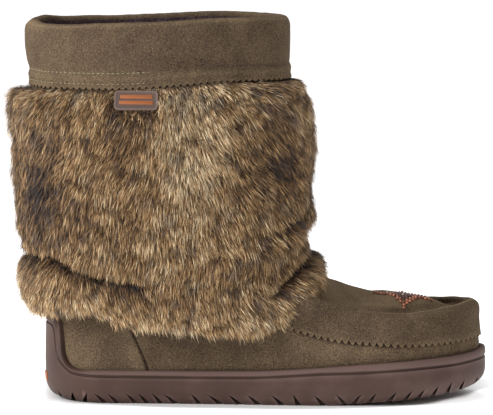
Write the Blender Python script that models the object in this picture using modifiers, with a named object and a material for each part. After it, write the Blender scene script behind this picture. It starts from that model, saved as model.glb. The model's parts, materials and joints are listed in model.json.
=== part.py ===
"""Winter boot of the mukluk kind: a right boot standing empty on its rubber cupsole.

The toe points along +X, the outer side of the foot faces -Y and +Z is up. The tables below are in
millimetres, with X counted from the back of the heel; the model itself is in metres.
"""

from collections import namedtuple
from math import cos, pi, radians, sin, sqrt

import bmesh
import bpy
from mathutils import Euler, Vector

# ---------------------------------------------------------------------------
# Driving dimensions, in millimetres
# ---------------------------------------------------------------------------
MM = 0.001
ORIGIN_X = 131.35  # from the back of the heel to the middle of the whole boot
SOLE_LENGTH = 287.2
AROUND = 56  # points in each ring, an even number
GAP = 0.35  # between pieces that touch

FOOTBED_HEIGHT = 10.0
CUP_WALL = 3.5
CUP_BLANK_HEIGHT = 54.0  # height of the cup before its rim is trimmed
HEEL_TAB_HEIGHT = 51.0
TREAD_DEPTH = 6.5
TREAD_REACH = 20.0  # how far a tread cut runs in from the edge
SPRING_START = 178.0  # where the sole begins to rise towards the toe
SPRING_RISE = 5.2  # rise over the 100 mm after it
SPRING_POWER = 1.05

UPPER_WALL = 3.6
LEG_HALF_DEPTH = 45.5
INSOLE_THICKNESS = 5.0
INSOLE_ROOM = 1.0  # between the insole's edge and the lining
BAND_THICKNESS = 1.5
BAND_START = 0.53  # share of the upper's length at which the toe band begins
BAND_TOP_ROW = 6  # the ridge, counted from the rim
BAND_OVERLAP = 0.3  # how far past the ridge the band reaches, as a share of the way to the valley

CUFF_FRONT_RISE = 5.0  # the cuff's lower edge is this much higher in front
CUFF_RISES = (0.35, 0.85)  # and rises between these shares of its length
CUFF_DROP = 2.8  # its top is this much lower behind
CUFF_DROPS = (0.35, 0.75)
CUFF_BACK_DROP = 1.0  # and by this much more at the very back
CUFF_BACK_DROPS = (0.0, 0.3)

FUR_ROOM = 1.6  # between the sleeve and the leg inside it
BAND_ROOM = 3.2  # between the sleeve and the toe band that runs under it
TAB_SIZE = (29.0, 2.2, 14.2)
TAB_CORNER = 2.4
TAB_PLACE, TAB_OUT, TAB_HEIGHT = 60.5, 55.4, 196.6  # its middle
TAB_TILT = 26.0  # degrees, its foot stands out over the fur
TAB_YAW = 4.5
TAB_ROOM = 0.6
TAB_DENT = 16.0

# The last: centre line and half width at shares of the length, before its ends are rounded, and
# the vamp's own, straighter centre line.
Last = namedtuple("Last", "share centre half vamp")
LAST = (
    Last(0.00, 0.0, 38.0, 0.0),
    Last(0.18, 0.0, 38.5, 0.0),
    Last(0.42, -4.5, 39.5, -2.0),
    Last(0.58, -3.2, 46.0, -1.2),
    Last(0.70, 0.6, 51.0, 0.6),
    Last(0.82, 3.2, 52.5, 3.2),
    Last(1.00, 8.5, 49.0, 8.5),
)
HEEL_ROUND = 0.13  # share of the length taken by the round of the heel
TOE_ROUND = 0.21

# Sections share these stations, at which their heights are given.
HEIGHT_SHARES = (0.0, 0.5, 0.66, 0.82, 1.0)

# The sole's outer wall: front and back ends, inset at the sides and height over the sole's spring.
Wall = namedtuple("Wall", "name front back inset rise")
SOLE_WALL = (
    Wall("tread", 275.0, 12.0, 3.2, 0.0),
    Wall("tread edge", 281.5, 4.6, 1.2, 3.2),
    Wall("low wall", 285.8, 1.2, 0.4, 7.5),
    Wall("belly", 287.2, 0.0, 0.0, 12.5),
)
SOLE_TOP_INSET = 0.8

# The line to which the cup is trimmed in front of the heel tab: place and height.
Rim = namedtuple("Rim", "place height")
RIM = (
    Rim(26.0, 21.8),
    Rim(131.0, 22.2),
    Rim(166.0, 23.8),
    Rim(206.0, 26.8),
    Rim(250.0, 29.7),
    Rim(279.0, 31.8),
    Rim(292.0, 34.5),
)
TAB_EDGE = ((9.0, 51.0), (10.8, 49.0), (12.2, 33.5), (14.2, 27.0), (18.5, 23.0))

# Tread cuts along each side: place at the floor, lean of the top and width.
Cut = namedtuple("Cut", "place lean width")
TREAD = (
    Cut(19.6, 0.0, 3.6),
    Cut(26.5, 0.6, 3.2),
    Cut(41.2, -8.0, 4.0),
    Cut(49.0, -7.2, 3.4),
    Cut(60.5, -6.6, 3.4),
    Cut(68.2, -6.5, 3.4),
    Cut(76.8, -6.0, 3.4),
    Cut(86.6, -8.5, 4.0),
    Cut(101.8, -6.0, 3.4),
    Cut(116.0, -10.0, 4.4),
    Cut(127.8, -8.0, 4.0),
    Cut(140.0, -8.0, 4.0),
    Cut(155.4, -7.8, 4.0),
    Cut(165.2, -3.5, 3.6),
    Cut(182.6, -7.8, 4.0),
    Cut(195.8, -6.4, 3.2),
    Cut(199.2, 6.4, 3.2),
    Cut(210.0, 5.4, 3.4),
    Cut(221.6, 6.0, 4.2),
    Cut(233.8, 4.2, 3.4),
    Cut(241.6, 4.6, 3.4),
    Cut(251.2, 4.0, 3.2),
    Cut(260.2, 3.8, 3.2),
    Cut(268.4, 3.8, 3.0),
    Cut(278.0, 3.2, 2.6),
)
# Cross grooves between the edge lugs: first place, last place and count, under heel and forefoot.
HEEL_GROOVES = (34.0, 82.0, 4)
FORE_GROOVES = (150.0, 240.0, 8)
GROOVE_HALF = 14.0
ARCH_PLACE, ARCH_LENGTH, ARCH_HALF, ARCH_DEPTH = 115.0, 48.0, 14.0, 4.0  # hollow under the arch

# The upper's outer face, ring by ring from the footbed to the collar. Foot rows follow the last:
# their ends, their inset at the sides of the forefoot, and their heights.
Foot = namedtuple("Foot", "name front back inset heights")
FOOT = (
    Foot("rim", 283.3, 3.9, 3.9, (52.0, 28.0, 28.5, 31.0, 36.0)),
    Foot("bulge", 282.3, 3.9, 3.2, (57.0, 38.0, 37.5, 38.5, 43.5)),
    Foot("side", 281.6, 4.0, 4.2, (61.0, 46.0, 45.0, 45.0, 50.0)),
    Foot("shoulder", 281.0, 4.0, 6.8, (65.0, 56.0, 53.0, 51.0, 55.2)),
    Foot("roll", 279.4, 3.8, 9.4, (69.0, 66.0, 60.0, 55.0, 59.6)),
    Foot("ridge", 276.0, 3.5, 12.4, (73.0, 76.0, 65.0, 56.9, 61.5)),
    Foot("valley", 270.5, 3.2, 16.4, (77.0, 80.0, 63.4, 54.2, 57.4)),
    Foot("plug edge", 264.5, 3.0, 19.6, (80.0, 84.0, 67.0, 57.2, 58.5)),
)
REAR_INSET = 3.9  # behind the forefoot, for every foot row
FOREFOOT = (0.50, 0.75)  # shares of the length between which the sides begin to turn in

# Vamp rows run over the plug and the instep: their ends, the half width of their U in front and
# their height along the flanks of the leg.
Vamp = namedtuple("Vamp", "name front back half flank")
VAMP = (
    Vamp("plug tip", 250.0, 2.6, 30.5, 88.0),
    Vamp("plug", 231.0, 2.0, 30.0, 93.0),
    Vamp("plug root", 212.0, 1.2, 30.0, 98.0),
    Vamp("vamp", 194.0, 0.2, 30.5, 104.0),
    Vamp("instep", 175.0, -1.4, 33.0, 114.0),
)
VAMP_ROUND = 60.0  # length of the round at the front of each vamp row
FLANK_LOW, FLANK_HIGH = 77.0, 130.0

# The vamp's crown along its middle, and the height of the plug's edges beside it.
Crown = namedtuple("Crown", "place middle edge")
CROWN = (
    Crown(159.0, 108.0, 76.0),
    Crown(165.0, 94.0, 72.0),
    Crown(172.0, 86.5, 69.6),
    Crown(182.0, 79.5, 66.8),
    Crown(190.0, 76.0, 65.0),
    Crown(198.0, 72.4, 63.0),
    Crown(206.0, 69.9, 61.4),
    Crown(215.0, 68.2, 59.4),
    Crown(231.0, 66.2, 57.6),
    Crown(250.0, 62.4, 57.4),
    Crown(264.5, 58.6, 58.2),
)
PLUG_HALF = 30.0

# Leg rows are ovals.
Leg = namedtuple("Leg", "name front back heights")
LEG = (
    Leg("ankle", 159.0, -2.8, (130.0, 130.0, 128.0, 125.0, 122.0)),
    Leg("shin", 156.5, -4.5, (155.0,) * 5),
    Leg("calf", 155.7, -7.5, (200.0,) * 5),
    Leg("collar", 155.5, -9.8, (239.7, 241.5, 243.1, 243.5, 243.5)),
)
# The toe band's lower edge: place and height.
Edge = namedtuple("Edge", "place height")
BAND_EDGE = (
    Edge(150.0, 53.0),
    Edge(175.0, 45.5),
    Edge(207.0, 40.4),
    Edge(240.0, 38.7),
    Edge(270.0, 39.6),
    Edge(290.0, 41.6),
)

# The fur sleeve: its hem's height at shares of its own length, and its rings up to the cuff.
Hem = namedtuple("Hem", "share height")
FUR_HEM = (
    Hem(0.00, 55.0),
    Hem(0.20, 57.5),
    Hem(0.38, 47.0),
    Hem(0.60, 45.0),
    Hem(0.80, 46.5),
    Hem(0.91, 55.0),
    Hem(1.00, 75.0),
)
FUR_TOP = 202.6
Pelt = namedtuple("Pelt", "name climb front back half square")
FUR = (
    Pelt("hem", 0.00, 180.5, -9.5, 58.5, 3.4),
    Pelt("hem roll", 0.06, 183.5, -14.5, 62.5, 3.4),
    Pelt("low", 0.20, 175.5, -17.0, 64.0, 2.9),
    Pelt("ankle", 0.38, 172.5, -18.5, 64.5, 2.5),
    Pelt("middle", 0.60, 173.5, -20.0, 64.5, 2.2),
    Pelt("high", 0.80, 174.0, -23.0, 64.0, 2.1),
    Pelt("crown", 0.92, 172.5, -24.5, 62.0, 2.0),
    Pelt("brow", 0.98, 168.5, -21.5, 58.5, 2.0),
    Pelt("top", 1.00, 163.5, -16.5, 54.0, 2.0),
)

# The cuff's section, clockwise from its hem: distance out from the leg's face, height and whether
# the point belongs to the lower edge (-1), the top (1) or neither (0).
Fold = namedtuple("Fold", "name out height end")
CUFF = (
    Fold("outer hem", 4.2, 203.4, -1),
    Fold("stitched pinch", 2.8, 214.0, -1),
    Fold("lower body", 3.9, 223.0, 0),
    Fold("upper body", 4.2, 236.0, 0),
    Fold("shoulder", 3.4, 245.5, 1),
    Fold("crown", 0.8, 249.2, 1),
    Fold("inner crown", -2.4, 249.2, 1),
    Fold("inner shoulder", -4.6, 247.0, 1),
    Fold("inner hem", -5.2, 237.0, 0),
    Fold("inner hem back", -4.1, 236.6, 0),
    Fold("fold inside", -4.1, 244.2, 1),
    Fold("fold outside", 0.5, 244.2, 1),
    Fold("hem inside", 0.5, 203.6, -1),
)


# ---------------------------------------------------------------------------
# Curves and rings
# ---------------------------------------------------------------------------
def smooth(places, values, at):
    """A smooth curve through rising places, held level beyond its ends."""
    if at <= places[0]:
        return values[0]
    if at >= places[-1]:
        return values[-1]
    count = len(places)
    slopes = []
    for i in range(count):
        low, high = max(i - 1, 0), min(i + 1, count - 1)
        slopes.append((values[high] - values[low]) / (places[high] - places[low]))
    i = max(k for k in range(count - 1) if places[k] <= at)
    span = places[i + 1] - places[i]
    u = (at - places[i]) / span
    start = (2 * u**3 - 3 * u**2 + 1) * values[i] + (u**3 - 2 * u**2 + u) * span * slopes[i]
    end = (3 * u**2 - 2 * u**3) * values[i + 1] + (u**3 - u**2) * span * slopes[i + 1]
    return start + end


def column(rows, field):
    return [getattr(row, field) for row in rows]


def spring(place):
    """How far the sole has risen towards the toe."""
    return SPRING_RISE * max(0.0, (place - SPRING_START) / 100) ** SPRING_POWER


def turn(step):
    """The angle of one point of a ring: 0 at the toe, a quarter turn on the inner side."""
    return 2 * pi * step / AROUND


def share_of(step):
    return (1 + cos(turn(step))) / 2


def even(first, last, count):
    """Values at even steps from first to last."""
    return [first + (last - first) * i / count for i in range(count + 1)]


def mix(first, second, share):
    return first * (1 - share) + second * share


def soft_step(value, low, high):
    """Climbs softly from 0 at low to 1 at high."""
    share = min(max((value - low) / (high - low), 0.0), 1.0)
    return share * share * (3 - 2 * share)


def quarter_round(share):
    """A quarter of a circle, from 0 at its tip to 1 where it meets the side."""
    return sqrt(1 - (1 - min(max(share, 0.0), 1.0)) ** 2)


def side_of(step):
    """1 on the inner side of a ring, -1 on its outer side and 0 at its two tips."""
    if step % (AROUND // 2) == 0:
        return 0
    return 1 if step % AROUND < AROUND // 2 else -1


def foot_side(step, inset):
    """How far to the side a foot's outline lies at one point of a ring."""
    share = share_of(step)
    centre = smooth(column(LAST, "share"), column(LAST, "centre"), share)
    half = smooth(column(LAST, "share"), column(LAST, "half"), share)
    ends = quarter_round((1 - share) / TOE_ROUND) * quarter_round(share / HEEL_ROUND)
    return centre + side_of(step) * (half - inset) * ends


def foot_ring(front, back, inset, height_at):
    """A ring with the sole's outline between two ends; height_at gives its height at a place."""
    ring = []
    for step in range(AROUND):
        place = back + share_of(step) * (front - back)
        ring.append(Vector((place, foot_side(step, inset), height_at(place))))
    return ring


def oval_ring(front, back, half, height_at, square=2.0):
    """An oval between two ends, squarer as its power grows past 2."""
    ring = []
    for step in range(AROUND):
        share = share_of(step)
        side = side_of(step) * half * (1 - abs(2 * share - 1) ** square) ** (1 / square)
        ring.append(Vector((back + share * (front - back), side, height_at(share))))
    return ring


def upper_foot_ring(row):
    """A ring of the foot, whose sides turn in only along the forefoot."""
    ring = []
    for step in range(AROUND):
        share = share_of(step)
        inset = mix(REAR_INSET, row.inset, soft_step(share, *FOREFOOT))
        height = smooth(HEIGHT_SHARES, row.heights, share)
        place = row.back + share * (row.front - row.back)
        ring.append(Vector((place, foot_side(step, inset), height)))
    return ring


def vamp_height(place, side):
    """The crowned top of plug and instep."""
    middle = smooth(column(CROWN, "place"), column(CROWN, "middle"), place)
    edge = smooth(column(CROWN, "place"), column(CROWN, "edge"), place)
    return mix(middle, edge, min(abs(side) / PLUG_HALF, 1.2) ** 2)


def vamp_ring(row):
    """A ring that runs over the vamp in front and round the flanks of the leg behind."""
    ring = []
    climb = (row.flank - FLANK_LOW) / (FLANK_HIGH - FLANK_LOW)
    rear_half = mix(LAST[0].half - REAR_INSET, LEG_HALF_DEPTH, climb)
    middle = mix(40.0, 77.0, climb)
    for step in range(AROUND):
        place = row.back + share_of(step) * (row.front - row.back)
        rear = rear_half * quarter_round((place - row.back) / (middle - row.back))
        fore = row.half * quarter_round((row.front - place) / VAMP_ROUND)
        ahead = soft_step(place, 100.0, 150.0)
        centre = ahead * smooth(column(LAST, "share"), column(LAST, "vamp"), place / SOLE_LENGTH)
        side = mix(rear, fore, ahead) * side_of(step)
        height = mix(row.flank, vamp_height(place, side), soft_step(place, 125.0, 165.0))
        ring.append(Vector((place, centre + side, height)))
    return ring


def upper_leg_ring(row):
    def height_at(share):
        return smooth(HEIGHT_SHARES, row.heights, share)

    return oval_ring(row.front, row.back, LEG_HALF_DEPTH, height_at)


def leg_ring(out, height_at):
    """A ring round the leg, a distance out from its face; height_at takes the share."""
    low, high = LEG[-2], LEG[-1]
    ring = []
    for step in range(AROUND):
        share = share_of(step)
        height = height_at(share)
        climb = (height - low.heights[-1]) / (high.heights[-1] - low.heights[-1])
        front = low.front + climb * (high.front - low.front) + out
        back = low.back + climb * (high.back - low.back) - out
        side = (LEG_HALF_DEPTH + out) * sin(turn(step))
        ring.append(Vector((back + share * (front - back), side, height)))
    return ring


def softened(normals):
    """Each normal averaged with its neighbours, so that a wall stays whole round tight folds."""
    soft = []
    for i, row in enumerate(normals):
        below, above = normals[max(i - 1, 0)], normals[min(i + 1, len(normals) - 1)]
        new = []
        for j, normal in enumerate(row):
            around = row[j - 1] + row[(j + 1) % AROUND] + below[j] + above[j]
            new.append((2 * normal + around).normalized())
        soft.append(new)
    return soft


def grown(rings, distance, softenings=1):
    """Rings moved out along the surface that they span."""
    normals = []
    for i, ring in enumerate(rings):
        below, above = rings[max(i - 1, 0)], rings[min(i + 1, len(rings) - 1)]
        row = []
        for j in range(AROUND):
            along = ring[(j + 1) % AROUND] - ring[j - 1]
            row.append(along.cross(above[j] - below[j]).normalized())
        normals.append(row)
    for _ in range(softenings):
        normals = softened(normals)
    ends = (normals[0], normals[-1])
    for row in ends:
        for normal in row:
            normal.z = 0.0
            normal.normalize()
    return [
        [point + normal * distance for point, normal in zip(ring, row)]
        for ring, row in zip(rings, normals)
    ]


# ---------------------------------------------------------------------------
# Meshes and objects
# ---------------------------------------------------------------------------
def clear_scene():
    for thing in list(bpy.data.objects):
        bpy.data.objects.remove(thing, do_unlink=True)


def collection(name):
    group = bpy.data.collections.new(name)
    bpy.context.scene.collection.children.link(group)
    return group


def material(name, colour, roughness, metallic=0.0):
    surface = bpy.data.materials.new(name)
    surface.use_nodes = True
    shader = surface.node_tree.nodes["Principled BSDF"]
    shader.inputs["Base Color"].default_value = (*colour, 1.0)
    shader.inputs["Roughness"].default_value = roughness
    shader.inputs["Metallic"].default_value = metallic
    surface.diffuse_color = (*colour, 1.0)
    return surface


def place_point(point):
    return Vector((point.x - ORIGIN_X, point.y, point.z)) * MM


def add_object(name, mesh, group, surface=None):
    thing = bpy.data.objects.new(name, mesh)
    group.objects.link(thing)
    if surface:
        mesh.materials.append(surface)
    return thing


def bridge(work, low, high, closed=True):
    """Faces between two rows of vertices, facing out when the rows climb."""
    count = len(low)
    for j in range(count if closed else count - 1):
        k = (j + 1) % count
        work.faces.new((low[j], low[k], high[k], high[j]))


def close_ring(work, ring, up):
    """Closes a ring with strips from its inner to its outer side."""
    half = AROUND // 2
    for j in range(half):
        a, b = ring[j], ring[j + 1]
        c, d = ring[-(j + 1) % AROUND], ring[-j % AROUND]
        corners = []
        for corner in (a, b, c, d):
            if corner not in corners:
                corners.append(corner)
        if not up:
            corners.reverse()
        work.faces.new(corners)


def loft(name, rings, joined=False, bottom=False, top=False):
    """A mesh through rings; joined runs from the last ring back to the first."""
    work = bmesh.new()
    rows = [[work.verts.new(place_point(point)) for point in ring] for ring in rings]
    for low, high in zip(rows, rows[1:]):
        bridge(work, low, high)
    if joined:
        bridge(work, rows[-1], rows[0])
    if bottom:
        close_ring(work, rows[0], up=False)
    if top:
        close_ring(work, rows[-1], up=True)
    mesh = bpy.data.meshes.new(name)
    work.to_mesh(mesh)
    work.free()
    mesh.shade_smooth()
    mesh.set_sharp_from_angle(angle=radians(35))
    return mesh


def prism(work, outline, near, far):
    """Adds a closed prism along Y to a bmesh, from an outline of (place, height) pairs."""
    low = [work.verts.new(place_point(Vector((x, near, z)))) for x, z in outline]
    high = [work.verts.new(place_point(Vector((x, far, z)))) for x, z in outline]
    faces = [work.faces.new(low), work.faces.new(list(reversed(high)))]
    for j in range(len(outline)):
        k = (j + 1) % len(outline)
        faces.append(work.faces.new((low[k], low[j], high[j], high[k])))
    bmesh.ops.recalc_face_normals(work, faces=faces)


def cut(piece, cutter):
    cutter.hide_render = True
    cutter.display_type = "WIRE"
    step = piece.modifiers.new(f"cut by {cutter.name}", "BOOLEAN")
    step.operation = "DIFFERENCE"
    step.solver = "EXACT"
    step.object = cutter


def thicken(piece, thickness, outwards):
    wall = piece.modifiers.new("wall", "SOLIDIFY")
    wall.thickness = thickness * MM
    wall.offset = 1 if outwards else -1
    wall.use_even_offset = True
    wall.use_rim = True


# ---------------------------------------------------------------------------
# Sub-parts
# ---------------------------------------------------------------------------
def footbed_height(place):
    return FOOTBED_HEIGHT + spring(place)


def side_cutter(name, outline, group):
    """A prism right across the boot, from an outline seen from the side."""
    work = bmesh.new()
    prism(work, outline, -90.0, 90.0)
    mesh = bpy.data.meshes.new(name)
    work.to_mesh(mesh)
    work.free()
    return add_object(name, mesh, group)


def rim_cutter(group):
    """Everything over the cup's rim."""
    places, heights = column(RIM, "place"), column(RIM, "height")
    outline = list(TAB_EDGE)
    outline += [(place, smooth(places, heights, place)) for place in even(places[0], places[-1], 24)]
    top = CUP_BLANK_HEIGHT + 10
    outline += [(places[-1], top), (-10.0, top), (-10.0, HEEL_TAB_HEIGHT)]
    return side_cutter("rim_cutter", outline, group)


def tread_cutter(group):
    """The cuts between the edge lugs and the cross grooves between them, as one cutter."""
    work = bmesh.new()
    blank = foot_ring(SOLE_LENGTH, 0.0, 0.0, lambda place: 0.0)
    for row in TREAD:
        floor = spring(row.place)
        outline = (
            (row.place - row.width / 2, floor - 2.0),
            (row.place + row.width / 2, floor - 2.0),
            (row.place + row.lean + 0.5, floor + TREAD_DEPTH),
            (row.place + row.lean - 0.5, floor + TREAD_DEPTH),
        )
        for side in (-1, 1):
            edge = min(
                (abs(point.y) for point in blank if abs(point.x - row.place) < 14 and point.y * side > 0),
                default=TREAD_REACH,
            )
            reach = max(edge - TREAD_REACH, 6.0)
            prism(work, outline, side * reach, side * 75.0)
    for first, last, count in (HEEL_GROOVES, FORE_GROOVES):
        for i in range(count):
            place = first + (last - first) * i / (count - 1)
            floor = spring(place)
            outline = (
                (place - 1.5, floor - 3.0),
                (place + 1.5, floor - 3.0),
                (place + 1.5, floor + 3.0),
                (place - 1.5, floor + 3.0),
            )
            prism(work, outline, -GROOVE_HALF, GROOVE_HALF)
    hollow = bmesh.ops.create_cone(
        work, cap_ends=True, segments=20, radius1=1.0, radius2=0.8, depth=2.0
    )["verts"]
    bmesh.ops.scale(work, vec=Vector((ARCH_LENGTH / 2, ARCH_HALF, ARCH_DEPTH)) * MM, verts=hollow)
    bmesh.ops.translate(work, vec=place_point(Vector((ARCH_PLACE, 0.0, 0.0))), verts=hollow)
    mesh = bpy.data.meshes.new("tread_cutter")
    work.to_mesh(mesh)
    work.free()
    return add_object("tread_cutter", mesh, group)


def make_outsole(group, cutters, surface):
    """A cupsole: tread, outer wall, rim, inner wall and footbed, trimmed and cut."""
    outside = [
        foot_ring(row.front, row.back, row.inset, lambda place, row=row: spring(place) + row.rise)
        for row in SOLE_WALL
    ]
    top, wall = SOLE_TOP_INSET, CUP_WALL
    outside.append(foot_ring(SOLE_LENGTH - top, top, top, lambda place: CUP_BLANK_HEIGHT))
    inside = [
        foot_ring(SOLE_LENGTH - wall, wall, wall, lambda place: CUP_BLANK_HEIGHT),
        foot_ring(SOLE_LENGTH - wall, wall, wall, footbed_height),
    ]
    mesh = loft("outsole", outside + inside, bottom=True, top=True)
    sole = add_object("outsole", mesh, group, surface)
    cut(sole, rim_cutter(cutters))
    cut(sole, tread_cutter(cutters))
    return sole


def make_insole(group, surface):
    inset = CUP_WALL + GAP + UPPER_WALL + INSOLE_ROOM
    front, back = SOLE_LENGTH - inset, inset
    low = foot_ring(front, back, inset, lambda place: footbed_height(place) + GAP)
    high = foot_ring(front, back, inset, lambda place: footbed_height(place) + GAP + INSOLE_THICKNESS)
    return add_object("insole", loft("insole", [low, high], bottom=True, top=True), group, surface)


def upper_rings(grow=0.0):
    """The upper's rings from the footbed to the collar."""
    first = FOOT[0]
    rings = [foot_ring(first.front, first.back, first.inset, lambda place: footbed_height(place) + GAP)]
    rings += [upper_foot_ring(row) for row in FOOT]
    rings += [vamp_ring(row) for row in VAMP]
    rings += [upper_leg_ring(row) for row in LEG]
    return grown(rings, grow) if grow else rings


def make_upper(group, surface):
    outside = upper_rings()
    inside = grown(outside, -UPPER_WALL, softenings=4)
    return add_object("upper", loft("upper", outside + inside[::-1], joined=True), group, surface)


def make_toe_band(group, cutters, surface):
    """The band of suede round the toe, lifted off the upper's own face and trimmed below."""
    rings = grown(upper_rings(), GAP)[1 : 1 + len(FOOT)]
    ridge, valley = rings[BAND_TOP_ROW - 1], rings[BAND_TOP_ROW]
    lip = [a.lerp(b, BAND_OVERLAP) for a, b in zip(ridge, valley)]
    steps = [step for step in range(-AROUND // 2, AROUND // 2) if share_of(step) > BAND_START]
    work = bmesh.new()
    rows = []
    for ring in rings[:BAND_TOP_ROW] + [lip]:
        rows.append([work.verts.new(place_point(ring[step % AROUND])) for step in steps])
    for low, high in zip(rows, rows[1:]):
        bridge(work, low, high, closed=False)
    mesh = bpy.data.meshes.new("toe_band")
    work.to_mesh(mesh)
    work.free()
    mesh.shade_smooth()
    band = add_object("toe_band", mesh, group, surface)
    thicken(band, BAND_THICKNESS, outwards=True)
    places, heights = column(BAND_EDGE, "place"), column(BAND_EDGE, "height")
    trim = [(place, smooth(places, heights, place)) for place in even(places[0], places[-1], 20)]
    trim += [(places[-1] + 10, heights[-1]), (places[-1] + 10, 0.0), (places[0] - 20, 0.0)]
    trim += [(places[0] - 20, heights[0])]
    cut(band, side_cutter("band_cutter", trim, cutters))
    return band


def pelt_ring(row):
    def height_at(share):
        hem = smooth(column(FUR_HEM, "share"), column(FUR_HEM, "height"), share)
        top = FUR_TOP + CUFF_FRONT_RISE * soft_step(share, *CUFF_RISES)
        return mix(hem, top, row.climb)

    return oval_ring(row.front, row.back, row.half, height_at, row.square)


def fur_cutter(group):
    """The upper with room for the toe band: what the sleeve of fur is hollowed by."""
    rings = upper_rings()
    below = grown(rings, BAND_THICKNESS + BAND_ROOM)
    above = grown(rings, FUR_ROOM)
    foot_rows = 1 + len(FOOT)
    blank = below[:foot_rows] + above[foot_rows:]
    return add_object("fur_cutter", loft("fur_cutter", blank, bottom=True, top=True), group)


def tab_frame():
    """Where the label tab hangs: its middle, its tilt over the fur and its turn round the leg."""
    middle = Vector((TAB_PLACE - ORIGIN_X, -TAB_OUT, TAB_HEIGHT)) * MM
    turned = Euler((radians(-TAB_TILT), 0.0, radians(-TAB_YAW)))
    return middle, turned


def rounded_plate(name, size, corner):
    """A plate standing in the XZ plane with round corners."""
    work = bmesh.new()
    bmesh.ops.create_cube(work, size=1.0)
    bmesh.ops.scale(work, vec=Vector(size) * MM, verts=work.verts)
    ends = [edge for edge in work.edges if abs((edge.verts[0].co - edge.verts[1].co).y) > size[1] * MM / 2]
    bmesh.ops.bevel(work, geom=ends, offset=corner * MM, segments=4, profile=0.5, affect="EDGES")
    mesh = bpy.data.meshes.new(name)
    work.to_mesh(mesh)
    work.free()
    return mesh


def tab_cutter(group):
    """The dent that the tab presses into the fur, open to the outside."""
    width, thickness, height = TAB_SIZE
    size = (width + 2 * TAB_ROOM, TAB_DENT, height + 2 * TAB_ROOM)
    cutter = add_object("tab_cutter", rounded_plate("tab_cutter", size, TAB_CORNER), group)
    middle, turned = tab_frame()
    out = Vector((0.0, -TAB_DENT / 2 + thickness / 2 + TAB_ROOM, 0.0)) * MM
    out.rotate(turned)
    cutter.location, cutter.rotation_euler = middle + out, turned
    return cutter


def make_fur_shaft(group, cutters, surface):
    rings = [pelt_ring(row) for row in FUR]
    fur = add_object("fur_shaft", loft("fur_shaft", rings, bottom=True, top=True), group, surface)
    cut(fur, fur_cutter(cutters))
    cut(fur, tab_cutter(cutters))
    return fur


def cuff_drop(share):
    """How much lower the cuff's top lies than in front."""
    drop = CUFF_DROP * (1 - soft_step(share, *CUFF_DROPS))
    return drop + CUFF_BACK_DROP * (1 - soft_step(share, *CUFF_BACK_DROPS))


def make_cuff(group, surface):
    """The cuff's folded section carried round the leg."""
    rings = []
    for fold in CUFF:

        def height_at(share, fold=fold):
            if fold.end < 0:
                return fold.height + CUFF_FRONT_RISE * soft_step(share, *CUFF_RISES)
            return fold.height - fold.end * cuff_drop(share)

        rings.append(leg_ring(fold.out, height_at))
    return add_object("cuff", loft("cuff", rings, joined=True), group, surface)


def make_label_tab(group, surface):
    tab = add_object("label_tab", rounded_plate("label_tab", TAB_SIZE, TAB_CORNER), group, surface)
    tab.location, tab.rotation_euler = tab_frame()
    return tab


clear_scene()
boot = collection("winter_boot")
cutters = collection("cutters")
rubber = material("sole_rubber", (0.118, 0.078, 0.066), 0.55)
suede = material("suede", (0.125, 0.088, 0.060), 0.95)
felt = material("insole_felt", (0.20, 0.16, 0.14), 1.0)
pelt = material("rabbit_fur", (0.26, 0.17, 0.10), 1.0)
label = material("label_rubber", (0.165, 0.125, 0.105), 0.6)
make_outsole(boot, cutters, rubber)
make_insole(boot, felt)
make_upper(boot, suede)
make_toe_band(boot, cutters, suede)
make_fur_shaft(boot, cutters, pelt)
make_cuff(boot, suede)
make_label_tab(boot, label)
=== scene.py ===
# %% [markdown]
# # A winter boot with a fur shaft
#
# The real boot is a moccasin foot of napped suede on a moulded rubber cupsole, with a sleeve of
# long rabbit fur round the leg and a suede cuff folded over the top. The solid model of its parts
# is loaded first, and every surface that shows is then made finer over it, in the same place.
import json
from collections import namedtuple
from math import cos, pi, radians, sin

import bmesh
import bpy
import numpy as np
from mathutils import Matrix, Vector
from mathutils.bvhtree import BVHTree

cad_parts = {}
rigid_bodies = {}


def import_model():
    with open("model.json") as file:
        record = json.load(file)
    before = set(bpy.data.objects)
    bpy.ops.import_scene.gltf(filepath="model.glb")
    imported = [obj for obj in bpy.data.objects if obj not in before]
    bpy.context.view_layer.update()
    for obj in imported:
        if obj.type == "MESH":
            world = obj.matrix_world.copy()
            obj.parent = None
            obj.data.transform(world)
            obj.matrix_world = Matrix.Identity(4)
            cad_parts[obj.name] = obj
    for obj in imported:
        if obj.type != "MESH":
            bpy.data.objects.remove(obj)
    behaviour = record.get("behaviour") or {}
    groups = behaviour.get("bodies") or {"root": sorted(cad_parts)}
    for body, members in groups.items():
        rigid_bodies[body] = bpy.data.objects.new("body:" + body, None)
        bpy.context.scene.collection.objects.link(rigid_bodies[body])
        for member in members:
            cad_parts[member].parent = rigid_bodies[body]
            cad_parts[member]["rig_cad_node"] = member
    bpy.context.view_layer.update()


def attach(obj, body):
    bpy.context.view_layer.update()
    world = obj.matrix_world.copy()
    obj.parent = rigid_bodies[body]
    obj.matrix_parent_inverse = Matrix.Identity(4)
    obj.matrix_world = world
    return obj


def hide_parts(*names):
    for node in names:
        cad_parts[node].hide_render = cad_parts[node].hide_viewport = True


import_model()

# %% [markdown]
# ## Working tools
#
# Shoe makers measure from the back of the heel, so all sizes below are millimetres with X from the
# heel, and one function turns them into the metres of the model. Colours are written as the hex
# codes a painter would pick and are made linear, since light adds up in linear values. A node's
# inputs are called by name, or by number where the node gives several of them one name.

# %% Millimetres and colours
MM = 0.001
HEEL = 131.35  # from the back of the heel to the middle of the whole boot


def metres(points):
    """Millimetres from the heel as metres in the model's frame."""
    return (np.asarray(points, dtype=float) - (HEEL, 0.0, 0.0)) * MM


def colour(code):
    """A hex colour as linear values."""
    shares = [int(code[i : i + 2], 16) / 255 for i in (0, 2, 4)]
    return (*((s / 12.92 if s < 0.04045 else ((s + 0.055) / 1.055) ** 2.4) for s in shares), 1.0)


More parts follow.
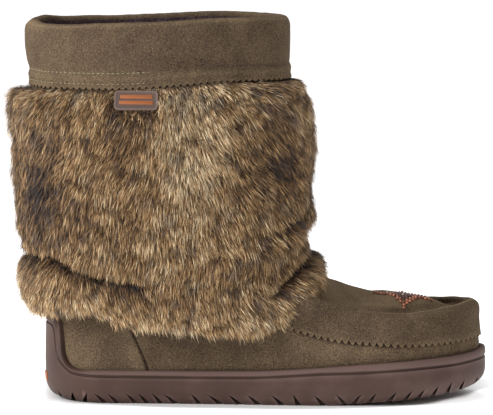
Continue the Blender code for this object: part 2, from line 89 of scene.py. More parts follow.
def grain_scale(size):
    """The scale of a noise whose features are about size millimetres across."""
    return 1 / (size * MM)


print("the heel is at X =", round(float(metres((0.0, 0.0, 0.0))[0]), 5), "m")


# %% Nodes
def feed(tree, node, inputs):
    """Gives each input a plain value, a socket or a node's first output."""
    for key, value in inputs.items():
        if isinstance(value, bpy.types.Node):
            value = value.outputs[0]
        if isinstance(value, bpy.types.NodeSocket):
            tree.links.new(value, node.inputs[key])
        else:
            node.inputs[key].default_value = value


def add(tree, kind, inputs=None, stops=(), **settings):
    """Adds a node with its settings and inputs, and a ramp with its (place, hex code) stops."""
    node = tree.nodes.new(kind)
    for name, value in settings.items():
        setattr(node, name, value)
    feed(tree, node, inputs or {})
    if stops:
        elements = node.color_ramp.elements
        for _ in stops[2:]:
            elements.new(0.5)
        for element, (place, code) in zip(elements, stops):
            element.position = place
            element.color = colour(code)
    return node


print("nodes ready")


# %% Meshes and pieces
def mesh_object(name, points, faces, surface=None):
    """An object at the origin from points in millimetres."""
    mesh = bpy.data.meshes.new(name)
    mesh.from_pydata(metres(points).tolist(), [], faces)
    mesh.shade_smooth()
    thing = bpy.data.objects.new(name, mesh)
    bpy.context.scene.collection.objects.link(thing)
    if surface:
        mesh.materials.append(surface)
    return thing


def grid_faces(rows, columns, round_about=True, joined=False, only=None):
    """Faces of a grid that face out when its rows climb and its columns run with the rings.

    Each row closes round about, the last row can be joined to the first, and only some columns
    may get faces.
    """
    faces = []
    for i in range(rows if joined else rows - 1):
        low, high = i * columns, (i + 1) % rows * columns
        for j in only or range(columns if round_about else columns - 1):
            k = (j + 1) % columns
            faces.append((low + j, low + k, high + k, high + j))
    return faces


def sheet_object(name, grid, surface=None, **how):
    """An object from a grid of rows of points."""
    rows, columns = grid.shape[:2]
    return mesh_object(name, grid.reshape(-1, 3), grid_faces(rows, columns, **how), surface)


def paint_light_and_wear(thing, values):
    """Paints a piece paler above zero and darker below it: painted highlight and shade, and wear."""
    layer = thing.data.attributes.new("painted_light_and_wear", "FLOAT", "POINT")
    layer.data.foreach_set("value", np.asarray(values, dtype=np.float32).ravel())


def own(thing, slot, *nodes):
    """Every piece rides on the one body and stands for its solid, whose parts it hides; the slot is not
    used.
    """
    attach(thing, "root")
    if nodes:
        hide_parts(*nodes)
    print(thing.name, sum(len(p.vertices) - 2 for p in thing.data.polygons), "triangles")


print("meshes ready")

# %% [markdown]
# ## The shape of the shoe
#
# A shoe is made over a last, a solid foot form. Its plan is a centre line with half widths, and
# the boot's walls are rings of that plan at rising heights. They could be sculpted, but the same
# small tables drive the solid model, so a finer skin made from them lies where the solid lies.
# Each ring starts at the toe and runs round by the inner side.

# %% Plan of the last
STEPS = 448  # points in each ring
SOLE_LENGTH = 287.2
SPRING_START, SPRING_RISE, SPRING_POWER = 178.0, 5.2, 1.05  # the rise over the 100 mm from its start
TURNS = 2 * pi * np.arange(STEPS) / STEPS
SHARE = (1 + np.cos(TURNS)) / 2
SIDE = np.where(np.abs(np.sin(TURNS)) < 1e-9, 0.0, np.sign(np.sin(TURNS)))

Last = namedtuple("Last", "share centre half vamp")
LAST = (
    Last(0.00, 0.0, 38.0, 0.0),
    Last(0.18, 0.0, 38.5, 0.0),
    Last(0.42, -4.5, 39.5, -2.0),
    Last(0.58, -3.2, 46.0, -1.2),
    Last(0.70, 0.6, 51.0, 0.6),
    Last(0.82, 3.2, 52.5, 3.2),
    Last(1.00, 8.5, 49.0, 8.5),
)
HEEL_ROUND, TOE_ROUND = 0.13, 0.21  # shares of the length taken by the rounded ends


def curve(places, values, at):
    """A smooth curve through rising places, held level beyond its ends."""
    places, values = np.array(places, float), np.array(values, float)
    count = len(places)
    low, high = np.maximum(np.arange(count) - 1, 0), np.minimum(np.arange(count) + 1, count - 1)
    slopes = (values[high] - values[low]) / (places[high] - places[low])
    at = np.clip(at, places[0], places[-1])
    i = np.clip(np.searchsorted(places, at, side="right") - 1, 0, count - 2)
    span = places[i + 1] - places[i]
    u = (at - places[i]) / span
    start = (2 * u**3 - 3 * u**2 + 1) * values[i] + (u**3 - 2 * u**2 + u) * span * slopes[i]
    return start + (3 * u**2 - 2 * u**3) * values[i + 1] + (u**3 - u**2) * span * slopes[i + 1]


def table(rows, field, at):
    """A table's column as a smooth curve of its first column."""
    return curve([row[0] for row in rows], [getattr(row, field) for row in rows], at)


print("last of", SOLE_LENGTH, "mm, widest half", max(row.half for row in LAST), "mm")


# %% Steps, hills and rounds
def mix(first, second, share):
    """From the first at a share of 0 to the second at 1."""
    return first * (1 - share) + second * share


def soft_step(value, low, high):
    """From 0 at the low value to 1 at the high one, without a corner."""
    share = np.clip((value - low) / (high - low), 0.0, 1.0)
    return share * share * (3 - 2 * share)


def bump(value, centre, width):
    """A soft hill of height 1."""
    return np.exp(-(((value - centre) / width) ** 2))


def quarter_round(share):
    """The height of a quarter circle along its width."""
    return np.sqrt(1 - (1 - np.clip(share, 0.0, 1.0)) ** 2)


print("half way up a soft step is", float(soft_step(0.5, 0.0, 1.0)))


# %% Rings
def spring(place):
    """How far the sole has risen towards the toe."""
    return SPRING_RISE * np.maximum(0.0, (place - SPRING_START) / 100) ** SPRING_POWER


def foot_side(inset):
    """How far each column of a ring lies to the side, drawn in by an inset."""
    ends = quarter_round((1 - SHARE) / TOE_ROUND) * quarter_round(SHARE / HEEL_ROUND)
    return table(LAST, "centre", SHARE) + SIDE * (table(LAST, "half", SHARE) - inset) * ends


def ring(place, side, height):
    """Points from their places along, to the side and up."""
    return np.stack([place, side, height + 0 * place], axis=-1)


outline = foot_side(0.0)
print("ring of", STEPS, "points,", round(float(outline.max() - outline.min()), 1), "mm wide")


# %% Swells, finer rows and directions
def ripple(points, size, seed, waves=9):
    """A smooth random swell between about -1 and 1, for shapes that a hand has pressed."""
    draw = np.random.default_rng(seed)
    total = np.zeros(points.shape[:-1])
    for _ in range(waves):
        heading = draw.normal(size=3)
        heading *= 2 * pi / (size * draw.uniform(0.7, 1.6) * np.linalg.norm(heading))
        total += np.sin(points @ heading + draw.uniform(0, 2 * pi))
    return total / waves**0.5 / 1.4  # about twice the usual size of such a sum is 1


def finer(rows, parts):
    """Rows between rows, on smooth curves through the matching points of all of them."""
    rows = np.array(rows)
    gaps = np.maximum(np.linalg.norm(np.diff(rows, axis=0), axis=-1, keepdims=True), 1e-6)
    slopes = np.empty_like(rows)
    steps = np.diff(rows, axis=0) / gaps
    slopes[0], slopes[-1] = steps[0], steps[-1]
    slopes[1:-1] = (steps[:-1] * gaps[1:] + steps[1:] * gaps[:-1]) / (gaps[:-1] + gaps[1:])
    made = []
    for i in range(len(rows) - 1):
        for u in np.arange(parts) / parts:
            start = (2 * u**3 - 3 * u**2 + 1) * rows[i] + (u**3 - 2 * u**2 + u) * gaps[i] * slopes[i]
            end = (3 * u**2 - 2 * u**3) * rows[i + 1] + (u**3 - u**2) * gaps[i] * slopes[i + 1]
            made.append(start + end)
    made.append(rows[-1])
    return np.array(made)


def facing(grid):
    """The outward direction at every point of a closed grid of climbing rings."""
    around = np.roll(grid, -1, axis=1) - np.roll(grid, 1, axis=1)
    climb = np.gradient(grid, axis=0)
    out = np.cross(around, climb)
    return out / np.maximum(np.linalg.norm(out, axis=-1, keepdims=True), 1e-9)


def sample(grid, column, row):
    """Points of a closed grid at fractional columns and rows."""
    column = np.mod(column, grid.shape[1])
    row = np.clip(row, 0, grid.shape[0] - 1.001)
    j, i = np.floor(column).astype(int), np.floor(row).astype(int)
    u, v = (column - j)[..., None], (row - i)[..., None]
    k = (j + 1) % grid.shape[1]
    return mix(mix(grid[i, j], grid[i, k], u), mix(grid[i + 1, j], grid[i + 1, k], u), v)


print("grids ready")

# %% [markdown]
# ## Materials
#
# Suede is the brushed flesh side of leather. Its nap scatters light softly and lies this way and
# that, which gives patches of lighter and darker tone as well as fine specks. Moulded rubber is
# even and dull with a faint gloss. A picture wrapped round each piece would need seams and would
# blur near by, so each material is mixed from noise whose grain is given in millimetres, and the
# same recipe can be set to the scale of nap, pile or mould.


# %% Recipe for leather, cloth and thread
def new_material(name):
    """A material, its tree and shader, and the object's own coordinates."""
    made = bpy.data.materials.new(name)
    made.use_nodes = True
    tree = made.node_tree
    coords = add(tree, "ShaderNodeTexCoord").outputs["Object"]
    return made, tree, tree.nodes["Principled BSDF"], coords


def napped(name, dark, middle, light, speck, patch, relief, roughness=0.92, sheen=0.25):
    """Specks and patches of colour, bent edges paler as wear and painted highlight, hollows darker as
    painted shade, and a fine relief.
    """
    made, tree, shader, coords = new_material(name)
    inputs = {"Vector": coords, "Scale": grain_scale(speck), "Detail": 3.0, "Roughness": 0.65}
    fine = add(tree, "ShaderNodeTexNoise", inputs)
    inputs = {"Vector": coords, "Scale": grain_scale(patch), "Detail": 3.0}
    broad = add(tree, "ShaderNodeTexNoise", inputs)
    both = add(tree, "ShaderNodeMix", {0: 0.22, 2: fine, 3: broad}, data_type="FLOAT")
    bent = add(tree, "ShaderNodeNewGeometry").outputs["Pointiness"]
    edge = add(tree, "ShaderNodeMapRange", {0: bent, 1: 0.44, 2: 0.56, 3: -0.07, 4: 0.07})
    painted_light_and_wear = add(tree, "ShaderNodeAttribute", attribute_name="painted_light_and_wear").outputs["Fac"]
    tone = add(tree, "ShaderNodeMath", {0: both, 1: edge}, operation="ADD")
    tone = add(tree, "ShaderNodeMath", {0: tone, 1: painted_light_and_wear}, operation="ADD")
    stops = ((0.1, "18130f"), (0.34, dark), (0.5, middle), (0.66, light))
    shade = add(tree, "ShaderNodeValToRGB", {0: tone}, stops)
    lift = add(tree, "ShaderNodeBump", {"Height": fine, "Distance": relief * MM, "Strength": 0.8})
    feed(tree, shader, {"Base Color": shade, "Normal": lift, "Roughness": roughness})
    feed(tree, shader, {"Specular IOR Level": 0.15, "Sheen Weight": sheen, "Sheen Roughness": 0.6})
    feed(tree, shader, {"Sheen Tint": colour(light)})
    return made


print("recipe for napped pieces ready")


# %% Recipe for rubber
def moulded(name, dark, middle, light, gloss, relief):
    """Even colour, with a painted highlight on its edges and painted shade in its grooves, and a fine
    matt relief.
    """
    made, tree, shader, coords = new_material(name)
    inputs = {"Vector": coords, "Scale": grain_scale(22.0), "Detail": 3.0}
    broad = add(tree, "ShaderNodeTexNoise", inputs)
    bent = add(tree, "ShaderNodeNewGeometry").outputs["Pointiness"]
    edge = add(tree, "ShaderNodeMapRange", {0: bent, 1: 0.42, 2: 0.58, 3: -0.26, 4: 0.26})
    even = add(tree, "ShaderNodeMapRange", {0: broad, 1: 0.3, 2: 0.7, 3: 0.44, 4: 0.56})
    painted_light_and_wear = add(tree, "ShaderNodeAttribute", attribute_name="painted_light_and_wear").outputs["Fac"]
    tone = add(tree, "ShaderNodeMath", {0: even, 1: edge}, operation="ADD")
    tone = add(tree, "ShaderNodeMath", {0: tone, 1: painted_light_and_wear}, operation="ADD")
    stops = ((0.3, dark), (0.5, middle), (0.66, light))
    shade = add(tree, "ShaderNodeValToRGB", {0: tone}, stops)
    # A blasted mould leaves a grain of about 0.1 mm, drawn at 0.6 mm so that it shows.
    fine = add(tree, "ShaderNodeTexNoise", {"Vector": coords, "Scale": grain_scale(0.6), "Detail": 3.0})
    rough = add(tree, "ShaderNodeMapRange", {0: fine, 3: gloss - 0.06, 4: gloss + 0.06})
    lift = add(tree, "ShaderNodeBump", {"Height": fine, "Distance": relief * MM, "Strength": 0.5})
    feed(tree, shader, {"Base Color": shade, "Roughness": rough, "Normal": lift})
    feed(tree, shader, {"IOR": 1.5, "Specular IOR Level": 0.3})
    return made


print("recipe for rubber ready")

# %% Materials of the boot
# Brushed split leather: no gloss, fine specks and soft patches. Real nap is about 0.2 mm and
# would not show, so its specks are drawn at 0.9 mm.
SUEDE = napped("olive_brown_suede", "392d24", "564738", "77654e", 0.9, 16.0, 0.25)
# Brushed pile cloth: small curls, with painted shade in the hollows between them.
FLEECE = napped("lining_fleece", "2a1f22", "463739", "5c4b4b", 1.6, 7.0, 1.2, sheen=0.4)
# Pressed wool: even and matt. Its fibres are far finer than the 0.9 mm specks that stand for them.
FELT = napped("insole_felt", "4b4038", "6a5c50", "83746a", 0.9, 12.0, 0.4)
# Twisted polyester drawn through wax: paler than the leather, with a dull shine.
THREAD = napped("waxed_thread", "6e6650", "8d8468", "a59c7e", 0.5, 4.0, 0.1, 0.7, 0.1)
# Sole rubber from a blasted mould: even and matt, with a painted highlight on its edges and painted
# shade in its grooves.
RUBBER = moulded("brown_rubber", "3a2923", "4d3830", "66504a", 0.6, 0.04)
# Softer rubber from a smoother mould: a faint gloss, and a painted highlight along the edges of its
# frame.
LABEL = moulded("mauve_rubber", "54453f", "69584f", "75645c", 0.5, 0.05)
# The same rubber, dyed through.
ORANGE = moulded("orange_rubber", "6f3a21", "91502e", "a0603a", 0.5, 0.05)
print("materials", len(bpy.data.materials))

# %% [markdown]
# ## Rubber cupsole
#
# A cupsole is moulded as a tray whose wall stands up round the foot, higher at the heel, with a
# rounded rim above a fine groove, and lugs cut into its floor edge. It could be swept from one
# section, but the heel tab and the toe spring change that section all along, so every column of
# the wall gets its own heights. The lugs are then cut by curved wedges.

# %% Cupsole wall, rim and groove
Wall = namedtuple("Wall", "rise front back inset")
WALL = (
    Wall(0.0, 275.0, 12.0, 3.2),
    Wall(3.2, 281.5, 5.2, 1.2),
    Wall(7.5, 285.8, 2.0, 0.4),
    Wall(12.5, 287.2, 0.7, 0.0),
    Wall(22.0, 287.2, 0.3, 0.0),
    Wall(54.0, 286.4, 0.8, 0.8),
)
Line = namedtuple("Line", "place height")
RIM = (
    Line(7.6, 54.0),
    Line(9.6, 49.5),
    Line(11.0, 33.5),
    Line(13.2, 27.0),
    Line(17.8, 23.0),
    Line(26.0, 21.8),
    Line(131.0, 22.2),
    Line(166.0, 23.8),
    Line(206.0, 26.8),
    Line(250.0, 29.7),
    Line(279.0, 31.5),
    Line(287.2, 33.0),
)
GROOVE = (
    Line(0.0, 50.4),
    Line(4.4, 49.0),
    Line(6.2, 44.0),
    Line(7.6, 33.0),
    Line(10.6, 26.0),
    Line(17.4, 20.2),
    Line(25.0, 18.4),
    Line(47.0, 17.6),
    Line(131.0, 17.7),
    Line(153.0, 18.8),
    Line(179.0, 20.6),
    Line(205.0, 21.5),
    Line(245.0, 24.1),
    Line(258.0, 24.6),
    Line(271.0, 25.3),
    Line(287.2, 26.8),
)
FOOTBED = 10.0
RIM_TO_GROOVE, RIM_ROOM = 3.2, 1.2  # least drop to the groove, and the part of it left plain
TREAD_ROWS = (0, 0.5, 1.4, 2.4, 3.4, 5, 7, 9, 11, 13)  # heights above the floor
SIDE_ROWS = (0.35, 0.7, 1.0)  # shares of the way from the tread to the groove
GROOVE_ROWS = ((-0.8, 0.25), (-0.3, 0.7), (0.3, 0.7), (0.8, 0.1), (1.3, -0.2), (1.9, -0.3))  # up, inset
BELLY_INSET = -0.25  # the wall swells between groove and rim
RIM_ROWS = ((0.9, 0.0), (0.3, 0.4), (0.0, 1.0), (0.0, 2.5), (0.5, 3.2), (2.5, 3.5))  # down, inset
print("wall of", len(TREAD_ROWS + SIDE_ROWS + GROOVE_ROWS + RIM_ROWS) + 2, "rows")


# %% Cupsole skin
def wall_ring(height, extra):
    """A ring of the wall at a height for each column, drawn in by an extra inset."""
    rise = height - spring(SHARE * SOLE_LENGTH)
    front = table(WALL, "front", rise) - extra
    back = table(WALL, "back", rise) + extra
    return ring(back + SHARE * (front - back), foot_side(table(WALL, "inset", rise) + extra), height)


def make_outsole():
    """The cupsole as one closed skin, from the tread up over the rim to the footbed."""
    place = SHARE * SOLE_LENGTH
    floor, groove, rim = spring(place), table(GROOVE, "height", place), table(RIM, "height", place)
    groove = np.minimum(groove, rim - RIM_TO_GROOVE)
    reach = GROOVE_ROWS[-1][0]
    belly = wall_ring(groove, 0.0)
    run = np.hypot(np.gradient(belly[:, 0]), np.gradient(belly[:, 1]))
    steep = np.hypot(1, np.gradient(groove) / np.maximum(run, 0.1))  # keeps the groove's width
    steep = np.minimum(steep, (rim - groove - RIM_ROOM) / reach)
    rows = [wall_ring(floor + rise, 0.0) for rise in TREAD_ROWS]
    tread_top = floor + TREAD_ROWS[-1]
    rows += [wall_ring(mix(tread_top, groove - steep, part), 0.0) for part in SIDE_ROWS]
    rows += [wall_ring(groove + up * steep, extra) for up, extra in GROOVE_ROWS]
    rows.append(wall_ring(mix(groove + reach * steep, rim - RIM_ROWS[0][0], 0.5), BELLY_INSET))
    rows += [wall_ring(rim - down, extra) for down, extra in RIM_ROWS]
    rows.append(wall_ring(FOOTBED + floor, RIM_ROWS[-1][1]))
    points = np.array(rows)
    count, half = len(rows), STEPS // 2
    faces = grid_faces(count, STEPS)
    for base, up in ((0, False), ((count - 1) * STEPS, True)):
        for j in range(half):
            face = (base + j, base + j + 1, base + (-j - 1) % STEPS, base + -j % STEPS)
            face = tuple(dict.fromkeys(face))  # a triangle at each end
            faces.append(face if up else face[::-1])
    return mesh_object("cupsole", points.reshape(-1, 3), faces, RUBBER)


outsole = make_outsole()
print("uncut sole of", len(outsole.data.polygons), "faces")

# %% Places of the tread cuts
Cut = namedtuple("Cut", "place lean width")
TREAD = (
    Cut(12.6, -3.6, 2.2),
    Cut(19.6, -1.0, 3.4),
    Cut(26.5, 1.6, 3.2),
    Cut(41.2, -8.0, 4.0),
    Cut(49.0, -7.2, 3.4),
    Cut(60.5, -6.6, 3.4),
    Cut(68.2, -6.5, 3.4),
    Cut(76.8, -6.0, 3.4),
    Cut(86.6, -8.5, 4.0),
    Cut(101.8, -6.0, 3.4),
    Cut(116.0, -10.0, 4.4),
    Cut(127.8, -8.0, 4.0),
    Cut(140.0, -8.0, 4.0),
    Cut(155.4, -7.8, 4.0),
    Cut(165.2, -3.5, 3.6),
    Cut(181.6, -6.4, 4.0),
    Cut(195.4, -6.2, 3.0),
    Cut(199.4, 5.6, 3.0),
    Cut(209.4, 5.2, 3.4),
    Cut(222.0, 5.6, 4.0),
    Cut(232.4, 5.4, 3.4),
    Cut(240.6, 5.4, 3.4),
    Cut(250.6, 4.6, 3.2),
    Cut(260.2, 3.8, 3.2),
    Cut(268.6, 3.9, 3.0),
    Cut(278.8, 3.0, 3.0),
)
TREAD_DEPTH, TREAD_REACH = 6.5, 5.0  # how high the cuts go, and how far in from the edge
EDGE_SPAN, LEAST_REACH = 14, 6.0  # the edge is measured this far round a cut; half width kept whole
TOE_DEPTH, TOE_CUTS = 2.4, (238, 262)  # the cuts are this much higher beyond these places
CLAW_WIDTH, CLAW_TAPER, CLAW_SWEEP = 0.6, 0.7, 1.5  # half width at the floor, and two powers
CLAW_TIP = 0.12  # half width of the blunt point
BELOW_FLOOR, PAST_EDGE = 2.0, 75.0  # the cutters run out of the sole below and to the side
CROSS_GROOVES = ((34.0, 82.0, 4), (150.0, 240.0, 8))  # first, last and count across the middle
CROSS_HALF, CROSS_DEPTH, CROSS_REACH = 1.5, 3.0, 14
ARCH = (115.0, 24.0, 14.0, 4.0)  # hollow: place, half length, half width, depth
print("tread cuts", 2 * len(TREAD))


# %% Cut the tread
def prism(work, outline, near, far):
    """A closed prism across the sole from (place, height) pairs."""
    ends = []
    for side in (near, far):
        ends.append([work.verts.new(metres((x, side, z))) for x, z in outline])
    faces = [work.faces.new(ends[0]), work.faces.new(ends[1][::-1])]
    for j in range(len(outline)):
        k = (j + 1) % len(outline)
        faces.append(work.faces.new((ends[0][k], ends[0][j], ends[1][j], ends[1][k])))
    bmesh.ops.recalc_face_normals(work, faces=faces)


def claw(cut):
    """The outline of one tread cut: wide at the floor and swept up to a point."""
    floor = float(spring(cut.place))
    depth = TREAD_DEPTH + TOE_DEPTH * soft_step(cut.place, *TOE_CUTS)
    left, right = [], []
    for t in np.linspace(0.0, 1.0, 6):
        middle = cut.place + cut.lean * t**CLAW_SWEEP
        half = cut.width * CLAW_WIDTH * (1 - t) ** CLAW_TAPER + CLAW_TIP
        height = floor - BELOW_FLOOR + t * (depth + BELOW_FLOOR)
        left.append((middle - half, height))
        right.append((middle + half, height))
    return left + right[::-1]


def cut_tread(sole):
    """Takes the claws, the cross grooves and the arch's hollow out of the sole."""
    work = bmesh.new()
    place = SHARE * SOLE_LENGTH
    outline = foot_side(0.0)
    for cut in TREAD:
        for side in (-1, 1):
            near = (np.abs(place - cut.place) < EDGE_SPAN) & (SIDE == side)
            reach = max(float(np.abs(outline[near]).min()) - TREAD_REACH, LEAST_REACH)
            prism(work, claw(cut), side * reach, side * PAST_EDGE)
    for first, last, count in CROSS_GROOVES:
        for at in np.linspace(first, last, count):
            low, high = float(spring(at)) - CROSS_DEPTH, float(spring(at)) + CROSS_DEPTH
            back, front = at - CROSS_HALF, at + CROSS_HALF
            box = ((back, low), (front, low), (front, high), (back, high))
            prism(work, box, -CROSS_REACH, CROSS_REACH)
    hollow = bmesh.ops.create_cone(work, cap_ends=True, segments=32, radius1=1, radius2=0.8, depth=2)
    bmesh.ops.scale(work, vec=Vector(ARCH[1:]) * MM, verts=hollow["verts"])
    bmesh.ops.translate(work, vec=metres((ARCH[0], 0, 0)), verts=hollow["verts"])
    cutter = bpy.data.objects.new("tread_cutter", bpy.data.meshes.new("tread_cutter"))
    work.to_mesh(cutter.data)
    work.free()
    bpy.context.scene.collection.objects.link(cutter)
    step = sole.modifiers.new("tread", "BOOLEAN")
    step.operation, step.solver, step.object = "DIFFERENCE", "EXACT", cutter
    plain = bpy.data.meshes.new_from_object(sole.evaluated_get(bpy.context.evaluated_depsgraph_get()))
    sole.modifiers.clear()
    sole.data = plain
    bpy.data.objects.remove(cutter)


cut_tread(outsole)
outsole.data.set_sharp_from_angle(angle=radians(38))
spots = np.empty(len(outsole.data.vertices) * 3)
outsole.data.vertices.foreach_get("co", spots)
x, _, z = (spots.reshape(-1, 3) / MM + (HEEL, 0, 0)).T
# The rim, which faces up to the light, gets a painted highlight, and the heel is darker.
above = soft_step(z - table(GROOVE, "height", x), 1.0, 2.0)  # the rim is paler, and the heel darker
paint_light_and_wear(outsole, 0.16 * above * soft_step(x, 20, 45) - 0.1 * (1 - soft_step(x, 12, 60)))
own(outsole, "sole_rubber", "outsole")

# %% [markdown]
# ## Suede foot
#
# The foot is sewn like a moccasin: a band rises round the toe and is gathered onto a plug that
# fills the top. Between the ridge of that seam and the plug lies a shallow valley, deepest at the
# toe. A subdivided cage would round the ridge off, so the skin is lofted through the last's rings,
# which keeps a row of points on every edge. The soft creases are then pressed into it along its
# own normals.

# %% Rings of the foot
Foot = namedtuple("Foot", "name front back inset heights")
FOOT = (
    Foot("rim", 283.3, 3.9, 3.9, (52.0, 28.0, 28.5, 31.0, 36.0)),
    Foot("bulge", 282.3, 3.9, 3.2, (57.0, 38.0, 37.5, 38.5, 43.5)),
    Foot("side", 281.6, 4.0, 4.2, (61.0, 46.0, 45.0, 45.0, 50.0)),
    Foot("shoulder", 281.7, 4.0, 6.8, (65.0, 56.0, 53.0, 51.0, 55.2)),
    Foot("roll", 281.2, 3.8, 9.4, (69.0, 66.0, 60.0, 55.0, 59.6)),
    Foot("ridge", 277.8, 3.5, 12.4, (73.0, 76.0, 65.0, 56.9, 61.5)),
    Foot("valley", 271.3, 3.2, 16.4, (77.0, 80.0, 63.4, 54.2, 57.4)),
    Foot("plug edge", 264.5, 3.0, 19.6, (80.0, 84.0, 67.0, 57.2, 58.5)),
)
HEIGHT_SHARES = (0.0, 0.5, 0.66, 0.82, 1.0)  # where a row's heights are given along the foot
REAR_INSET = 3.9
FOREFOOT = (0.50, 0.75)  # shares of the length over which the rear inset gives way to the row's own
FOOTBED_GAP = 0.35
print("foot", [row.name for row in FOOT])

# %% Rings of the vamp and leg
Vamp = namedtuple("Vamp", "name front back half flank")
VAMP = (
    Vamp("plug tip", 250.0, 2.6, 30.5, 88.0),
    Vamp("plug", 231.0, 2.0, 30.0, 93.0),
    Vamp("plug root", 212.0, 1.2, 30.0, 98.0),
    Vamp("vamp", 194.0, 0.2, 30.5, 104.0),
    Vamp("instep", 175.0, -1.4, 33.0, 114.0),
)
Crown = namedtuple("Crown", "place middle edge")
CROWN = (
    Crown(159.0, 108.0, 76.0),
    Crown(165.0, 94.0, 72.0),
    Crown(172.0, 86.5, 69.6),
    Crown(182.0, 79.5, 66.8),
    Crown(190.0, 76.0, 65.0),
    Crown(198.0, 72.4, 63.0),
    Crown(206.0, 69.5, 61.4),
    Crown(214.0, 69.2, 59.4),
    Crown(223.0, 70.4, 58.6),
    Crown(231.0, 66.6, 57.6),
    Crown(243.0, 65.8, 57.4),
    Crown(252.0, 63.8, 57.4),
    Crown(264.5, 58.6, 58.2),
)
Leg = namedtuple("Leg", "name front back heights")
LEG = (
    Leg("ankle", 159.0, -2.8, (130.0, 130.0, 128.0, 125.0, 122.0)),
    Leg("shin", 156.5, -4.5, (155.0,) * 5),
    Leg("calf", 155.7, -7.5, (200.0,) * 5),
    Leg("collar", 155.5, -9.8, (239.7, 241.5, 243.1, 243.5, 243.5)),
)
LEG_HALF = 45.5
FLANK_LOW, FLANK_RISE = 77, 53  # the vamp's flank climbs from the valley's height to the ankle's
HEEL_SPREAD = (40, 77)  # length of the round heel, low down and at the ankle
VAMP_ROUND, CROWN_HALF = 60, 30  # length of each ring's round front, and half width of the crown
REAR_TO_FORE = (100, 150)  # the leg's round plan gives way to the foot's between these places
FLANK_TO_CROWN = (125, 165)  # and the level flank to the crown's heights between these
print("leg", [row.name for row in VAMP + LEG])

# %% Loft the skin
PARTS = 6  # fine rows between the rings of the tables
RIDGE = 6 * PARTS  # fine row of the moccasin seam


def foot_rows():
    """The boot's outer face from the footbed to the collar, ring by ring."""
    first = FOOT[0]
    place = first.back + SHARE * (first.front - first.back)
    rows = [ring(place, foot_side(first.inset), FOOTBED + spring(place) + FOOTBED_GAP)]
    for row in FOOT:
        inset = mix(REAR_INSET, row.inset, soft_step(SHARE, *FOREFOOT))
        height = curve(HEIGHT_SHARES, row.heights, SHARE)
        rows.append(ring(row.back + SHARE * (row.front - row.back), foot_side(inset), height))
    for row in VAMP:
        place = row.back + SHARE * (row.front - row.back)
        climb = (row.flank - FLANK_LOW) / FLANK_RISE
        rear = mix(LAST[0].half - REAR_INSET, LEG_HALF, climb)
        rear = rear * quarter_round((place - row.back) / (mix(*HEEL_SPREAD, climb) - row.back))
        fore = row.half * quarter_round((row.front - place) / VAMP_ROUND)
        ahead = soft_step(place, *REAR_TO_FORE)
        side = mix(rear, fore, ahead) * SIDE
        middle, edge = table(CROWN, "middle", place), table(CROWN, "edge", place)
        top = mix(middle, edge, np.minimum(np.abs(side) / CROWN_HALF, 1.2) ** 2)
        centre = ahead * table(LAST, "vamp", place / SOLE_LENGTH)
        rows.append(ring(place, centre + side, mix(row.flank, top, soft_step(place, *FLANK_TO_CROWN))))
    for row in LEG:
        height = curve(HEIGHT_SHARES, row.heights, SHARE)
        rows.append(ring(row.back + SHARE * (row.front - row.back), LEG_HALF * np.sin(TURNS), height))
    return np.array(rows)


SKIN = finer(foot_rows(), PARTS)
SKIN_OUT = facing(SKIN)
print("skin grid", SKIN.shape[:2], "up to", round(float(SKIN[..., 2].max()), 1), "mm")

# %% Suede and fleece walls
LEATHER, LINING_FROM, LINING_TO = 1.5, 1.8, 3.5  # depths under the skin
CREASE_PLACE, CREASE_DEPTH = 187, 0.8


def pressed(grid, out):
    """The soft swells and creases of a suede foot that stands empty."""
    x, y, z = grid[..., 0], grid[..., 1], grid[..., 2]
    low = 1 - soft_step(z, 85, 100)
    lift = 0.25 * ripple(grid, 26.0, 3) + 0.12 * ripple(grid, 9.0, 4)
    # One bent crease runs over the instep.
    crease = bump(x + 0.35 * y, CREASE_PLACE + 0.1 * y * y / 10, 3.5) * soft_step(z, 60, 66)
    return grid + out * (lift * low - CREASE_DEPTH * crease)[..., None]


def wall_sheet(name, outside, inside, surface):
    """A closed wall between an outer and an inner grid of climbing rings."""
    return sheet_object(name, np.concatenate([outside, inside[::-1]]), surface, joined=True)


suede_face = pressed(SKIN, SKIN_OUT)[:, ::2]
leather_back = (SKIN - LEATHER * SKIN_OUT)[::PARTS, ::2]
suede_foot = wall_sheet("suede_foot", suede_face, leather_back, SUEDE)

lining_out, lining_in = SKIN - LINING_FROM * SKIN_OUT, SKIN - LINING_TO * SKIN_OUT
pile = 0.35 * ripple(lining_in, 5.0, 11) + 0.2 * ripple(lining_in, 2.6, 12)
lining_in = lining_in - SKIN_OUT * pile[..., None]
lining = wall_sheet("fleece_lining", lining_out[::PARTS, ::4], lining_in[::3, ::4], FLEECE)
own(lining, "insole_felt")

# %% [markdown]
# ## Toe band and heel quarter
#
# The band is one strip of suede, folded over the plug's edge at the ridge and pinked along its
# lower edge, where it is sewn down over the side. Pinking shears leave even teeth. The strip is
# measured along the ridge, so that its teeth keep one size all the way round the toe. Teeth cut
# by a Boolean would need a cutter bent to the foot, so every column of the strip simply starts at
# its own height.
#
# Behind, a stiffened heel quarter laps over the side in the same way: both are strips that lie on
# the foot's skin, with the leather's thickness and closed ends.

